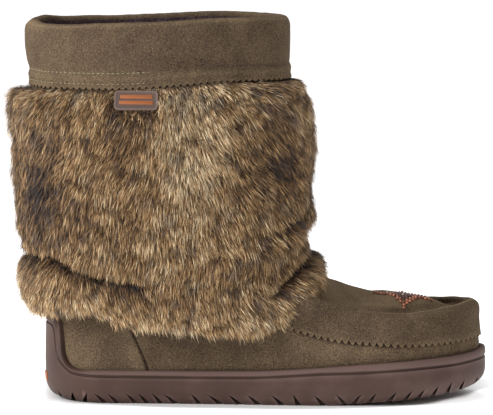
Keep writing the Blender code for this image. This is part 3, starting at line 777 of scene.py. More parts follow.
# %% Edge of the toe band
Edge = namedtuple("Edge", "place height")
BAND_EDGE = (
    Edge(150.0, 53.0),
    Edge(163.0, 49.0),
    Edge(175.0, 45.5),
    Edge(189.0, 42.3),
    Edge(207.0, 40.4),
    Edge(235.0, 38.8),
    Edge(257.0, 39.0),
    Edge(270.0, 39.6),
    Edge(286.0, 41.4),
)
TOOTH, TOOTH_DEPTH, TOOTH_COLUMNS = 4.5, 2.8, 8
BAND_REACH = 0.243  # share of the ring's columns that it covers on each side of the toe
BAND_LIFT, BAND_BACK = 1.75, 0.3  # heights of its face and its back over the skin
BAND_ROWS = (np.linspace(0, 0.12, 3), np.linspace(0.2, 0.84, 10), np.linspace(0.86, 1, 13))
HIDDEN_ROWS = 5  # a strip's back has every fifth row of its face


def zigzag(length, pitch):
    """A wave of broad teeth between -1 and 1, with narrow notches between them."""
    return 2 * (2 * np.abs(np.mod(length / pitch, 1) - 0.5)) ** 1.7 - 1


print("band of", sum(len(part) for part in BAND_ROWS), "rows")


# %% Strips that lie on the skin
def strip(name, outer, inner, surface):
    """A closed strip between an outer and an inner open grid."""
    loop = np.concatenate([outer, inner[::-1]])
    rows, columns = loop.shape[:2]
    faces = grid_faces(rows, columns, round_about=False, joined=True)
    faces.append(tuple(range(0, rows * columns, columns)))
    faces.append(tuple(range(columns - 1, rows * columns, columns))[::-1])
    return mesh_object(name, loop.reshape(-1, 3), faces, surface)


def on_skin(column, row, lift):
    """Points lifted off the foot's skin at fractional columns and rows."""
    base, out = sample(SKIN, column, row), sample(SKIN_OUT, column, row)
    return base + out / np.linalg.norm(out, axis=-1, keepdims=True) * np.asarray(lift)[..., None]


print("strips ready")


# %% Toe band
def make_band():
    """The pinked band: each column starts at the edge's height and runs up over the ridge."""
    tries = np.linspace(-STEPS * BAND_REACH, STEPS * BAND_REACH, 4000)
    path = sample(SKIN, tries, np.full(len(tries), float(RIDGE)))
    length = np.concatenate([[0], np.cumsum(np.linalg.norm(np.diff(path, axis=0), axis=1))])
    count = int(length[-1] / TOOTH) * TOOTH_COLUMNS + 1
    run = np.linspace(0, length[-1], count)
    column = np.interp(run, length, tries)
    levels = np.linspace(PARTS * 0.5, RIDGE, 260)
    columns = sample(SKIN, *np.meshgrid(column, levels))
    edge = table(BAND_EDGE, "height", columns[0, :, 0])
    edge = edge + TOOTH_DEPTH / 2 * zigzag(run, TOOTH) * (1 + 0.12 * np.sin(run * 0.9))
    start = levels[np.argmax(columns[..., 2] > edge, axis=0)]
    end = RIDGE + 0.5 * PARTS
    outer, inner, painted_light_and_wear = [], [], []
    for t in np.concatenate(BAND_ROWS):
        row = mix(start, end, t)
        base = sample(SKIN, column, row)
        swell = 0.35 * ripple(base, 24.0, 7) + 0.12 * ripple(base, 7.0, 8)
        # The gathers pucker it below the ridge, over which it is folded down.
        pucker = 0.22 * np.sin(run / 3.1) * bump(t, 0.93, 0.08) * soft_step(base[:, 0], 215, 262)
        lift = BAND_LIFT + swell * bump(t, 0.5, 0.35) + pucker - 1.4 * soft_step(t, 0.965, 1.0)
        # It stands up a little on the inner side of the toe.
        lift += 1.3 * soft_step(base[:, 1], 5, 25) * bump(base[:, 0], 248, 15) * bump(t, 0.88, 0.12)
        outer.append(on_skin(column, row, lift))
        inner.append(on_skin(column, row, 0 * run + BAND_BACK))
        # A pale line along the ridge, partly worn and partly a painted highlight, a painted highlight
        # along the pinked edge, and the rest slightly darker.
        painted_light_and_wear.append(0 * run + 0.34 * bump(t, 0.89, 0.018) - 0.02 + 0.05 * bump(t, 0.0, 0.05))
    inner = inner[::HIDDEN_ROWS]
    band = strip("toe_band_suede", np.array(outer), np.array(inner), SUEDE)
    paint_light_and_wear(band, painted_light_and_wear + [0 * run] * len(inner))
    return band


band = make_band()
band.data.set_sharp_from_angle(angle=radians(50))
own(band, "suede", "toe_band")

# %% Heel quarter
Seam = namedtuple("Seam", "height place")
QUARTER_EDGE = (
    Seam(12, 69.8),
    Seam(23, 68.0),
    Seam(28, 66.2),
    Seam(34, 63.6),
    Seam(44, 59.2),
    Seam(70, 50.0),
)
QUARTER_LIFT, QUARTER_CLEAR, QUARTER_BACK = 0.65, 0.05, -0.3  # over the skin: face, edge and back
QUARTER_ROWS = np.linspace(0.1 * PARTS, 7.6 * PARTS, 46)


def make_quarter():
    """The leather lapped round the heel, cut off along its edge on both sides."""
    outer, inner, painted_light_and_wear = [], [], []
    half = STEPS // 2
    across = np.concatenate([[-1, -0.992, -0.984, -0.972], np.linspace(-0.95, 0.95, 121)])
    across = np.concatenate([across, -across[3::-1]])  # close columns at both edges
    for row in QUARTER_ROWS:
        side = sample(SKIN, np.arange(half + 1.0), np.full(half + 1, row))
        ahead = side[:, 0] - table(QUARTER_EDGE, "place", side[:, 2])
        first = float(np.interp(0.0, -ahead, np.arange(half + 1)))  # where the seam crosses this row
        column = half + across * (half - first)
        end = 1 - np.abs(across)
        lift = QUARTER_LIFT * soft_step(end, 0.0, 0.018)
        outer.append(on_skin(column, 0 * across + row, lift + QUARTER_CLEAR))
        inner.append(on_skin(column, 0 * across + row, 0 * across + QUARTER_BACK))
        # Painted shade along its cut edge stands for the shadow of the lapped leather's step, with a
        # slightly paler strip just inside it.
        painted_light_and_wear.append(0.05 * bump(end, 0.06, 0.05) + 0.02 - 0.3 * bump(end, 0.004, 0.012))
    inner = inner[::HIDDEN_ROWS]
    quarter = strip("heel_quarter", np.array(outer), np.array(inner), SUEDE)
    paint_light_and_wear(quarter, painted_light_and_wear + [0 * across] * len(inner))
    return quarter


own(make_quarter(), "suede")

# %% Painted shade and paler tone of the suede foot
x, z = suede_face[..., 0], suede_face[..., 2]
# Painted shade darkens the suede in the notches just below the band's teeth. The plug and the front are
# paler.
below_band = -0.4 * bump(z - table(BAND_EDGE, "height", x), 0.7, 1.7) * soft_step(x, 145, 155)
plug = 0.1 * soft_step(z, 58, 64) * soft_step(x, 165, 180)
painted_light_and_tone = below_band + plug + 0.03 * soft_step(x, 140, 170)
paint_light_and_wear(suede_foot, np.concatenate([painted_light_and_tone.ravel(), 0 * leather_back[..., 0].ravel()]))
own(suede_foot, "suede", "upper")

# %% [markdown]
# ## Repeats as instances
#
# Beads, stitches and hairs are all one small shape set down many times. A Geometry Nodes tree
# does that from points that carry their own direction and size, and it can also scatter the
# points over a skin first. The result is made real, so that each piece is a plain mesh.


# %% Inputs of the tree
TREE_INPUTS = {
    "Geometry": "NodeSocketGeometry",
    "Shapes": "NodeSocketCollection",
    "Surface": "NodeSocketMaterial",
    "Seed": "NodeSocketInt",
    "Per Area": "NodeSocketFloat",
}


def new_tree(name):
    """A tree with the named inputs, and the sockets that hand their values out."""
    tree = bpy.data.node_groups.new(name, "GeometryNodeTree")
    for called, kind in TREE_INPUTS.items():
        tree.interface.new_socket(called, in_out="INPUT", socket_type=kind)
    tree.interface.new_socket("Geometry", in_out="OUTPUT", socket_type="NodeSocketGeometry")
    return tree, add(tree, "NodeGroupInput").outputs


print("tree inputs", list(TREE_INPUTS))

# %% Uneven hairs
TUFT, SLATE_PATCH = 3.0, 6.5  # millimetres
SWAY = ((9.0, 1.0), (3.2, 0.7))  # size of each drift and its share


def swayed(tree, flow, sway):
    """Directions pushed aside together, tuft by tuft."""
    for size, part in SWAY:
        inputs = {"Scale": grain_scale(size), "Detail": 1.0}
        drift = add(tree, "ShaderNodeTexNoise", inputs).outputs["Color"]
        drift = add(tree, "ShaderNodeVectorMath", {0: drift, 1: (0.5, 0.5, 0.5)}, operation="SUBTRACT")
        drift = add(tree, "ShaderNodeVectorMath", {0: drift, "Scale": sway * part}, operation="SCALE")
        flow = add(tree, "ShaderNodeVectorMath", {0: flow, 1: drift}, operation="ADD")
    return flow


def rolled(tree, rotation, spread, seed):
    """Rotations turned by chance about their own Z."""
    inputs = {2: -spread, 3: spread, "Seed": seed}
    roll = add(tree, "FunctionNodeRandomValue", inputs, data_type="FLOAT").outputs[1]
    turn = add(tree, "FunctionNodeEulerToRotation", {0: add(tree, "ShaderNodeCombineXYZ", {2: roll})})
    axes = {"Rotation": rotation, "Rotate By": turn}
    return add(tree, "FunctionNodeRotateRotation", axes, rotation_space="LOCAL")


def varied(tree, points, size, size_seed, tone_seed):
    """Sizes that differ by the hair and the tuft, and the numbers that colour each hair."""
    inputs = {0: (0.6, 0.7, 0.7), 1: (1.35, 1.25, 1.2), "Seed": size_seed}
    odd = add(tree, "FunctionNodeRandomValue", inputs, data_type="FLOAT_VECTOR")
    size = add(tree, "ShaderNodeVectorMath", {0: size, 1: odd}, operation="MULTIPLY")
    inputs = {2: 0.0, 3: 1.0, "Seed": tone_seed}
    values = {"chance": add(tree, "FunctionNodeRandomValue", inputs, data_type="FLOAT").outputs[1]}
    for called, grain in (("tuft", TUFT), ("slate", SLATE_PATCH)):
        values[called] = add(tree, "ShaderNodeTexNoise", {"Scale": grain_scale(grain), "Detail": 2.0})
    for called, value in values.items():
        inputs = {"Geometry": points, "Name": called, 3: value}
        points = add(tree, "GeometryNodeStoreNamedAttribute", inputs, data_type="FLOAT")
    tuft = add(tree, "GeometryNodeInputNamedAttribute", {"Name": "tuft"}, data_type="FLOAT")
    longer = add(tree, "ShaderNodeMapRange", {0: tuft, 1: 0.3, 2: 0.7, 3: 0.75, 4: 1.3})
    size = add(tree, "ShaderNodeVectorMath", {0: size, "Scale": longer}, operation="SCALE")
    return points, size


print("hair nodes ready")


# %% Tree that sets small shapes along directions
def repeats_tree(name, kinds, scattered, spread, sway):
    """Shapes on points, with Z along 'flow' and X along 'out', scaled by 'size'."""
    tree, given = new_tree(name)
    seeds = []
    for number in range(1, 5):
        inputs = {0: given["Seed"], 1: float(number)}
        seeds.append(add(tree, "ShaderNodeMath", inputs, operation="ADD"))
    if scattered:
        inputs = {"Mesh": given["Geometry"], "Density": given["Per Area"], "Seed": given["Seed"]}
        points = add(tree, "GeometryNodeDistributePointsOnFaces", inputs, distribute_method="RANDOM")
    else:
        points = add(tree, "GeometryNodeMeshToPoints", {"Mesh": given["Geometry"]})
    flow, out, size = (
        add(tree, "GeometryNodeInputNamedAttribute", {"Name": called}, data_type="FLOAT_VECTOR")
        for called in ("flow", "out", "size")
    )
    if sway:
        flow = swayed(tree, flow, sway)
    axes = {"Primary Axis": flow, "Secondary Axis": out}
    turned = add(tree, "FunctionNodeAxesToRotation", axes, primary_axis="Z", secondary_axis="X")
    if spread:
        turned = rolled(tree, turned, spread, seeds[0])
        points, size = varied(tree, points, size, seeds[1], seeds[2])
    inputs = {4: 0, 5: kinds - 1, "Seed": seeds[3]}
    pick = add(tree, "FunctionNodeRandomValue", inputs, data_type="INT").outputs[2]
    inputs = {"Collection": given["Shapes"], "Separate Children": True, "Reset Children": True}
    shapes = add(tree, "GeometryNodeCollectionInfo", inputs)
    inputs = {"Points": points, "Instance": shapes, "Pick Instance": True, "Instance Index": pick}
    inputs.update({"Rotation": turned, "Scale": size})
    placed = add(tree, "GeometryNodeInstanceOnPoints", inputs)
    real = add(tree, "GeometryNodeRealizeInstances", {0: placed})
    painted = add(tree, "GeometryNodeSetMaterial", {"Geometry": real, "Material": given["Surface"]})
    add(tree, "NodeGroupOutput", {"Geometry": painted})
    return tree


print("repeats tree ready")


# %% Run the tree
def repeats(name, source, shapes, surface, per_area=0.0, spread=0.0, seed=1, sway=0.0):
    """Copies of shapes on a source's points, as one plain mesh."""
    kit = bpy.data.collections.new(name + "_shapes")
    bpy.context.scene.collection.children.link(kit)
    for shape in shapes:
        kit.objects.link(shape)
    step = source.modifiers.new("repeats", "NODES")
    step.node_group = repeats_tree(name + "_tree", len(shapes), per_area > 0, spread, sway)
    values = {"Shapes": kit, "Surface": surface, "Seed": seed, "Per Area": per_area}
    for item in step.node_group.interface.items_tree:
        if item.in_out == "INPUT" and item.name in values:
            step[item.identifier] = values[item.name]
    plain = bpy.data.meshes.new_from_object(source.evaluated_get(bpy.context.evaluated_depsgraph_get()))
    for shape in shapes:
        kit.objects.unlink(shape)
    bpy.data.collections.remove(kit)
    bpy.data.objects.remove(source)
    plain.name = name
    made = bpy.data.objects.new(name, plain)
    bpy.context.scene.collection.objects.link(made)
    return made


print("repeats ready")


# %% Sources and small shapes
def guide(name, points, flow, out, size, faces=()):
    """A mesh whose points carry the direction, facing and size of what is set on them."""
    mesh = bpy.data.meshes.new(name)
    mesh.from_pydata(metres(points).tolist(), [], faces)
    for called, values in (("flow", flow), ("out", out), ("size", size)):
        layer = mesh.attributes.new(called, "FLOAT_VECTOR", "POINT")
        layer.data.foreach_set("vector", np.asarray(values, dtype=np.float32).ravel())
    thing = bpy.data.objects.new(name, mesh)
    bpy.context.scene.collection.objects.link(thing)
    return thing


def small_shape(name, profile, sides=8):
    """A shape turned round Z through (height, radius) pairs, with pointed ends, one unit long."""
    angles = np.linspace(0, 2 * pi, sides + 1)[:-1]
    points = [(0.0, 0.0, profile[0][0] - profile[0][1] * 0.3)]
    points += [(r * cos(a), r * sin(a), z) for z, r in profile for a in angles]
    points.append((0.0, 0.0, profile[-1][0] + profile[-1][1] * 0.3))
    faces = [(0, 1 + (j + 1) % sides, 1 + j) for j in range(sides)]
    faces += [tuple(1 + v for v in face) for face in grid_faces(len(profile), sides)]
    last, end = 1 + (len(profile) - 1) * sides, len(points) - 1
    faces += [(last + j, last + (j + 1) % sides, end) for j in range(sides)]
    mesh = bpy.data.meshes.new(name)
    mesh.from_pydata(points, [], faces)
    mesh.shade_smooth()
    return bpy.data.objects.new(name, mesh)


print("small shapes ready")

# %% [markdown]
# ## Cuff
#
# A strip of suede is folded over the collar, stitched through in two rows and pinked at its lower
# edge. The upper row pulls the leather in and the cuff swells above it. Cloth simulation could
# drape it, but would not put the fold where it is wanted. So a drawn section is carried round the
# leg, with columns spaced evenly so that teeth and stitches keep one size.

# %% Section of the cuff
Fold = namedtuple("Fold", "out height rise drop")
CUFF_FACE = (
    Fold(4.3, 204.4, 1.0, 0.0),
    Fold(3.8, 207.3, 1.0, 0.0),
    Fold(4.1, 210.4, 1.0, 0.0),
    Fold(3.0, 214.2, 1.0, 0.0),
    Fold(3.5, 217.5, 0.7, 0.0),
    Fold(4.1, 223.0, 0.3, 0.0),
    Fold(4.4, 232.0, 0.0, 0.2),
    Fold(4.2, 239.5, 0.0, 0.7),
    Fold(3.4, 245.5, 0.0, 1.0),
    Fold(2.2, 247.9, 0.0, 1.0),
    Fold(0.6, 248.8, 0.0, 1.0),
    Fold(-1.0, 249.1, 0.0, 1.0),
    Fold(-2.6, 248.7, 0.0, 1.0),
    Fold(-3.9, 248.0, 0.0, 1.0),
    Fold(-4.7, 246.0, 0.0, 0.9),
    Fold(-5.1, 242.0, 0.0, 0.5),
    Fold(-5.3, 237.0, 0.0, 0.0),
)
CUFF_BACK = (
    Fold(-4.1, 236.7, 0.0, 0.0),
    Fold(-4.0, 244.2, 0.0, 1.0),
    Fold(0.6, 244.2, 0.0, 1.0),
    Fold(0.6, 204.0, 1.0, 0.0),
)
CUFF_PARTS = 4  # fine rows between the folds
CREST, TURNED_IN = 9 * CUFF_PARTS, 14 * CUFF_PARTS  # fine rows: the top edge, and the suede's end inside
CUFF_TEETH, CUFF_TOOTH_COLUMNS, CUFF_TOOTH_DEPTH = 98, 6, 1.9
CUFF_RISE = 5.0
LOWER_STITCH, UPPER_STITCH = 1, 3  # rows of the cuff's face
print("cuff section of", len(CUFF_FACE + CUFF_BACK), "points")


# %% Rings round the leg
def even_angles(count, long_half=83.0, short_half=47.0):
    """Angles round an oval at even steps of its edge."""
    tries = np.linspace(0, 2 * pi, 20001)
    steps = np.hypot(long_half * np.diff(np.cos(tries)), short_half * np.diff(np.sin(tries)))
    length = np.concatenate([[0], np.cumsum(steps)])
    return np.interp(np.arange(count) / count * length[-1], length, tries), length[-1]


def leg_ring(angles, out, height):
    """A ring round the leg, a distance out from its face."""
    calf, collar = LEG[2], LEG[3]
    climb = (height - calf.heights[0]) / (collar.heights[-1] - calf.heights[0])
    front, back = collar.front + out, mix(calf.back, collar.back, climb) - out
    share = (1 + np.cos(angles)) / 2
    return ring(back + share * (front - back), (LEG_HALF + out) * np.sin(angles), height)


def front_rise(share):
    """How much higher the cuff's lower edge lies towards the front."""
    return CUFF_RISE * soft_step(share, 0.3, 0.85)


def cuff_ring(angles, fold):
    """One fold of the section round the leg: its lower part rises, and its upper part drops."""
    share = (1 + np.cos(angles)) / 2
    # The top edge is lower behind, and dips unevenly where the leather is folded.
    drop = 2.8 * (1 - soft_step(share, 0.35, 0.75)) + 1.0 - soft_step(share, 0.0, 0.3)
    drop -= 1.2 * np.sin(angles) * bump(share, 0.1, 0.13) + 0.4 * bump(share, 0.8, 0.12)
    inner = 0.5 + 0.5 * np.tanh(3 * np.sin(angles))
    drop -= mix(1.8 * bump(share, 0.012, 0.025), 2.2 * bump(share, 0.05, 0.05), inner)
    drop += 1.6 * bump(share, 0.0, 0.007) - 0.5 * bump(share, 0.42, 0.1)
    rise = front_rise(share) + 0.7 * (1 - soft_step(share, 0.0, 0.09))
    # The lower edge lies closer behind, and stands out a little in front.
    out = fold.out - (0.9 + 1.1 * fold.rise) * (1 - soft_step(share, 0.0, 0.1))
    out = out + 0.7 * fold.rise * soft_step(share, 0.9, 1.0)
    return leg_ring(angles, out, fold.height + fold.rise * rise - fold.drop * drop)


print("cuff rises", CUFF_RISE, "mm to the front")

# %% Cuff
cuff_columns = CUFF_TEETH * CUFF_TOOTH_COLUMNS
cuff_angles, cuff_length = even_angles(cuff_columns)
face = finer([cuff_ring(cuff_angles, fold) for fold in CUFF_FACE], CUFF_PARTS)
face_out = facing(face)
swell = 0.5 * ripple(face, 48.0, 21) + 0.22 * ripple(face, 17.0, 22)
# Only the middle swells: the stitches hold it below and the fold above.
held = np.minimum(soft_step(face[..., 2], 214, 228), 1 - soft_step(face[..., 2], 243, 249))
face = face + face_out * (swell * held + 0.1 * ripple(face, 6.0, 23))[..., None]
back = np.array([cuff_ring(cuff_angles, fold) for fold in CUFF_BACK])
teeth = CUFF_TOOTH_DEPTH / 2 * zigzag(np.arange(cuff_columns) / CUFF_TOOTH_COLUMNS, 1.0)
for row, part in ((face[0], 1.0), (face[1], 0.8), (face[2], 0.4), (face[3], 0.1), (back[-1], 1.0)):
    row[:, 2] += part * teeth
cuff = sheet_object("suede_cuff", np.concatenate([face, back]), SUEDE, joined=True)
cuff.data.materials.append(FLEECE)
for polygon in cuff.data.polygons:
    if TURNED_IN <= polygon.index // cuff_columns < len(face):
        polygon.material_index = 1
# Paler along the folded top edge and the pinked lower edge, partly worn and partly a painted highlight;
# paler up to the upper stitches, and a little darker above them round the middle.
painted_light_and_tone = 0.1 * bump(np.arange(len(face)), CREST, 3) + 0.05 * bump(np.arange(len(face)), 0, 2)
painted_light_and_tone = painted_light_and_tone[:, None] + 0.05 * (1 - soft_step(face[..., 2], 213, 219))
painted_light_and_tone -= 0.035 * bump(face[..., 0], 95, 45) * soft_step(face[..., 2], 214, 222)
paint_light_and_wear(cuff, np.concatenate([painted_light_and_tone, 0 * back[..., 0]]))
cuff.data.set_sharp_from_angle(angle=radians(50))
own(cuff, "suede", "cuff")

# %% [markdown]
# ## Stitches
#
# A lock stitch shows on the face as short bars of thread that dip into the leather at both ends.
# A curve with a dashed texture would have no thickness, so the tree sets one small bar for each
# stitch, at even steps along the cuff's own rings.

# %% Stitches in the cuff
STITCH_PITCH, STITCH_LENGTH, THREAD_HALF = 3.2, 1.8, 0.3
THREAD_OUT, THREAD_SUNK = 0.12, 1.7  # how far a stitch stands out, and sinks towards the front
STITCH_PROFILE = ((-0.5, 0.35), (-0.36, 0.85), (0.0, 1.0), (0.36, 0.85), (0.5, 0.35))
points, flows, outs = [], [], []
for index in (LOWER_STITCH, UPPER_STITCH):
    angles, length = even_angles(int(cuff_length / STITCH_PITCH))
    line = cuff_ring(angles, CUFF_FACE[index])
    along = np.roll(line, -1, axis=0) - np.roll(line, 1, axis=0)
    out = np.stack([along[:, 1], -along[:, 0], 0 * angles], axis=-1)
    out /= np.linalg.norm(out, axis=1, keepdims=True)
    sunk = THREAD_SUNK * soft_step(line[:, 0], 60, 90)  # drawn right into the nap there
    points.append(line + out * (THREAD_OUT - sunk)[:, None])
    flows.append(along)
    outs.append(out)
points, flows, outs = np.concatenate(points), np.concatenate(flows), np.concatenate(outs)
size = np.tile((THREAD_HALF, THREAD_HALF, STITCH_LENGTH), (len(points), 1)) * MM
source = guide("stitch_points", points, flows, outs, size)
stitches = repeats("cuff_stitches", source, [small_shape("stitch", STITCH_PROFILE)], THREAD)
own(stitches, "thread")

# %% [markdown]
# ## Label tab and heel inlay
#
# A small moulded tab hangs from the cuff's seam over the fur. The real one carries words; here
# two plain ribs fill its raised frame. A box with bevels and an inset would also do, but loops of
# one rounded rectangle, stacked from back to front, give the plate, its frame and the sunk field
# in a single skin. The heel's inlay is a strip of the sole's own wall, set a little proud of it.


# %% Loops of a rounded plate
def rounded_loop(width, height, corner, depth, parts=6):
    """A rounded rectangle seen from outside, as (x, y, z) points at one depth."""
    loop = []
    for k, (sx, sz) in enumerate(((1, 1), (-1, 1), (-1, -1), (1, -1))):
        for a in np.linspace(k * pi / 2, (k + 1) * pi / 2, parts):
            x = sx * (width / 2 - corner) + corner * cos(a)
            loop.append((x, depth, sz * (height / 2 - corner) + corner * sin(a)))
    return loop


def stacked(name, loops, turn, surface):
    """A closed body from loops stacked towards the viewer, turned into place."""
    points = [tuple(turn @ Vector(point)) for loop in loops for point in loop]
    columns = len(loops[0])
    faces = grid_faces(len(loops), columns)
    faces.append(tuple(range(columns))[::-1])
    faces.append(tuple(range((len(loops) - 1) * columns, len(loops) * columns)))
    return mesh_object(name, points, faces, surface)


print("loop of", len(rounded_loop(2.0, 2.0, 0.5, 0.0)), "points")

# %% Label tab with a raised frame and two ribs
LABEL_PLACE, LABEL_YAW, LABEL_TILT = (61.0, -55.4, 197.7), -4.5, -26.0  # its middle, and degrees
LABEL_WIDTH, LABEL_HEIGHT, LABEL_CORNER = 28.0, 13.2, 2.6
LABEL_LOOPS = (  # inset and depth, from the back over the frame to the field
    (1.0, 1.1),
    (0.2, 0.9),
    (0.0, 0.4),
    (0.0, -0.5),
    (0.25, -0.9),
    (0.6, -1.0),
    (1.0, -0.9),
    (1.2, -0.7),
)
RIBS = ((2.3, 20.8), (-1.7, 21.8))  # height over the label's middle, and width
RIB_HEIGHT, RIB_CORNER = 2.6, 0.8
RIB_LOOPS = ((0.0, -0.3), (0.0, -0.95), (0.3, -1.15))

hang = Matrix.Translation(LABEL_PLACE) @ Matrix.Rotation(radians(LABEL_YAW), 4, "Z")
hang = hang @ Matrix.Rotation(radians(LABEL_TILT), 4, "X")
loops = []
for inset, depth in LABEL_LOOPS:
    size = (LABEL_WIDTH - 2 * inset, LABEL_HEIGHT - 2 * inset, LABEL_CORNER - 0.6 * inset)
    loops.append(rounded_loop(*size, depth))
label = stacked("label_plate", loops, hang, LABEL)
label.data.set_sharp_from_angle(angle=radians(40))
own(label, "label_rubber", "label_tab")
for index, (height, width) in enumerate(RIBS):
    loops = []
    for inset, depth in RIB_LOOPS:
        size = (width - 2 * inset, RIB_HEIGHT - 2 * inset, RIB_CORNER - inset)
        loops.append(rounded_loop(*size, depth))
    shift = hang @ Matrix.Translation((0.0, 0.0, height))
    rib = stacked(f"label_rib_{index + 1}", loops, shift, ORANGE)
    own(rib, "label_rubber")

# %% Plain inlay at the back of the heel
INLAY_REACH, INLAY_DEPTH = 10, 0.5  # columns to each side, and how far its back lies inside the wall
# Heights of its rows, and how far each stands out.
INLAY_ROWS = ((11.4, 0.0), (11.8, 0.45), (13.0, 0.45), (15.0, 0.45), (17.0, 0.45), (17.4, 0.0))
behind = slice(STEPS // 2 - INLAY_REACH, STEPS // 2 + INLAY_REACH + 1)
outer = [wall_ring(np.full(STEPS, height), -proud)[behind] for height, proud in INLAY_ROWS]
inner = [wall_ring(np.full(STEPS, height), INLAY_DEPTH)[behind] for height, _ in INLAY_ROWS]
inlay = strip("heel_inlay", np.array(outer), np.array(inner), ORANGE)
own(inlay, "label_rubber")

# %% [markdown]
# ## Bead star
#
# Small glass beads are sewn on the plug in a plain four-pointed star. They could be drawn on the
# suede as colour and bump, but real beads stand proud of it and each catches the light. So each
# bead is a shape of its own, set at a place of a square grid that falls inside the star's curved
# outline. A ray dropped from above finds the leather below it and the leather's slope, on which
# the bead sits flat.


# %% Glass of the beads
def glass(name, dark, light):
    """Opaque soda glass, cut from a drawn tube and tumbled: glossy, with each bead painted at random
    between a shaded and a lit tone.
    """
    made, tree, shader, coords = new_material(name)
    inputs = {"Vector": coords, "Scale": grain_scale(2.2), "Detail": 1.0}
    tone = add(tree, "ShaderNodeTexNoise", inputs)  # its spots are about a bead wide
    shade = add(tree, "ShaderNodeValToRGB", {0: tone}, ((0.38, dark), (0.56, light)))
    feed(tree, shader, {"Base Color": shade, "Roughness": 0.16, "IOR": 1.52})
    return made


# Copper, plum and pale gold, each as a painted shaded tone and a painted lit tone.
GLASS = {"copper": ("6e382c", "d88e70"), "plum": ("3c2422", "6a4446"), "gold": ("cdb88e", "fdf3d8")}
print("glass in", list(GLASS))

# %% Places of the beads
BEAD = 1.9  # millimetres across
PITCH, GRID_REACH = BEAD * 1.08, 10  # of the grid, and its places to each side
STAR_X, STAR_Y, STAR_LONG, STAR_WIDE, STAR_POWER = 233.0, -4.0, 20.0, 18.0, 0.76
ABOVE_FOOT = 110.0  # height from which the rays are dropped


def star_outline(u, v):
    """Below 1 inside a four-pointed star with hollow sides."""
    return (abs(u) / STAR_LONG) ** STAR_POWER + (abs(v) / STAR_WIDE) ** STAR_POWER


def bead_kind(u, v):
    """Gold in the middle and on both long arms, plum inside and copper along the edge."""
    if abs(u) < 1.2 and -4.5 < v < 1.0 or 5.0 < abs(u) < 11.0 and 1.0 < v < 4.0:
        return "gold"
    if max(star_outline(abs(u) + 2 * PITCH, v), star_outline(u, abs(v) + PITCH)) < 1.0:
        return "plum"
    return "copper"


polygons = [tuple(polygon.vertices) for polygon in suede_foot.data.polygons]
leather = BVHTree.FromPolygons([vertex.co for vertex in suede_foot.data.vertices], polygons)
seats = {kind: [] for kind in GLASS}
for i in range(-GRID_REACH, GRID_REACH + 1):
    for j in range(-GRID_REACH, GRID_REACH + 1):
        u, v = i * PITCH, j * PITCH
        if star_outline(u, v) > 1.0:
            continue
        above = Vector(metres((STAR_X + u, STAR_Y + v, ABOVE_FOOT)))
        seat, out, _, _ = leather.ray_cast(above, Vector((0, 0, -1)))
        seats[bead_kind(u, v)].append((np.array(seat) / MM + (HEEL, 0, 0), np.array(out)))
print("beads", {kind: len(found) for kind, found in seats.items()})

# %% Beads
BEAD_PROFILE = ((-0.42, 0.55), (-0.28, 0.85), (0.0, 1.0), (0.28, 0.85), (0.42, 0.55))
BEAD_LENGTH, BEAD_RAISED = BEAD * 0.9, 0.38  # and how far up it sits, as a share of its width
for kind, codes in GLASS.items():
    centres = np.array([seat for seat, _ in seats[kind]])
    outs = np.array([out for _, out in seats[kind]])
    draw = np.random.default_rng(len(centres))
    across = draw.normal(size=outs.shape)  # sewn flat, with their holes turned any way
    across -= outs * (across * outs).sum(axis=1, keepdims=True)
    size = np.tile((BEAD / 2, BEAD / 2, BEAD_LENGTH), (len(centres), 1)) * MM
    source = guide(kind + "_points", centres + outs * BEAD * BEAD_RAISED, across, outs, size)
    shape = small_shape(kind + "_bead", BEAD_PROFILE)
    beads = repeats(f"{kind}_beads", source, [shape], glass(kind + "_glass", *codes))
    own(beads, "beads")

# %% [markdown]
# ## Fur sleeve
#
# Rabbit fur is a dense undercoat under longer guard hairs. It is combed down the leg, parts where
# the pelts are joined, sinks into creases and spills over its hem. Blender's hair curves would be
# the usual way, but only meshes are kept in the finished model. So the pelt is modelled as a skin
# set inside the outline that the tips reach. On it, charts say which way the hairs lean, how long
# they are and how light, and blades with a bend stand in for hairs.

# %% Rings of the pelt
Pelt = namedtuple("Pelt", "climb front back half square")
PELT = (
    Pelt(0.00, 175.5, -7.5, 54.5, 3.2),
    Pelt(0.03, 173.8, -8.6, 56.0, 3.2),
    Pelt(0.10, 168.8, -9.3, 57.5, 3.0),
    Pelt(0.20, 164.5, -9.2, 58.0, 2.8),
    Pelt(0.30, 169.8, -10.6, 58.3, 2.6),
    Pelt(0.38, 167.8, -12.2, 58.5, 2.5),
    Pelt(0.60, 169.8, -13.9, 58.5, 2.2),
    Pelt(0.70, 169.6, -14.6, 58.3, 2.1),
    Pelt(0.80, 169.4, -15.4, 58.0, 2.1),
    Pelt(0.92, 167.0, -17.0, 56.0, 2.0),
    Pelt(0.98, 163.2, -15.2, 52.5, 2.0),
    Pelt(1.00, 157.8, -12.0, 49.2, 2.0),
)
Hem = namedtuple("Hem", "share height")
HEM = (
    Hem(0.00, 66.5),
    Hem(0.06, 63.8),
    Hem(0.20, 66.5),
    Hem(0.36, 57.0),
    Hem(0.44, 56.2),
    Hem(0.60, 53.0),
    Hem(0.80, 52.0),
    Hem(0.91, 61.0),
    Hem(1.00, 85.0),
)
PELT_TOP = 204.0


def pelt_ring(row):
    """One ring of the pelt, between its hem and its top under the cuff."""
    # Its top is lower in front and behind, so that the cuff's teeth show over the fur.
    ends = 2.0 * soft_step(SHARE, 0.74, 0.93) - 0.8 * soft_step(SHARE, 0.97, 1.0)
    ends += 2.5 * soft_step(1 - SHARE, 0.82, 0.97)
    top = PELT_TOP + front_rise(SHARE) - ends
    height = mix(table(HEM, "height", SHARE), top, row.climb)
    side = SIDE * row.half * (1 - np.abs(2 * SHARE - 1) ** row.square) ** (1 / row.square)
    return ring(row.back + SHARE * (row.front - row.back), side, height)


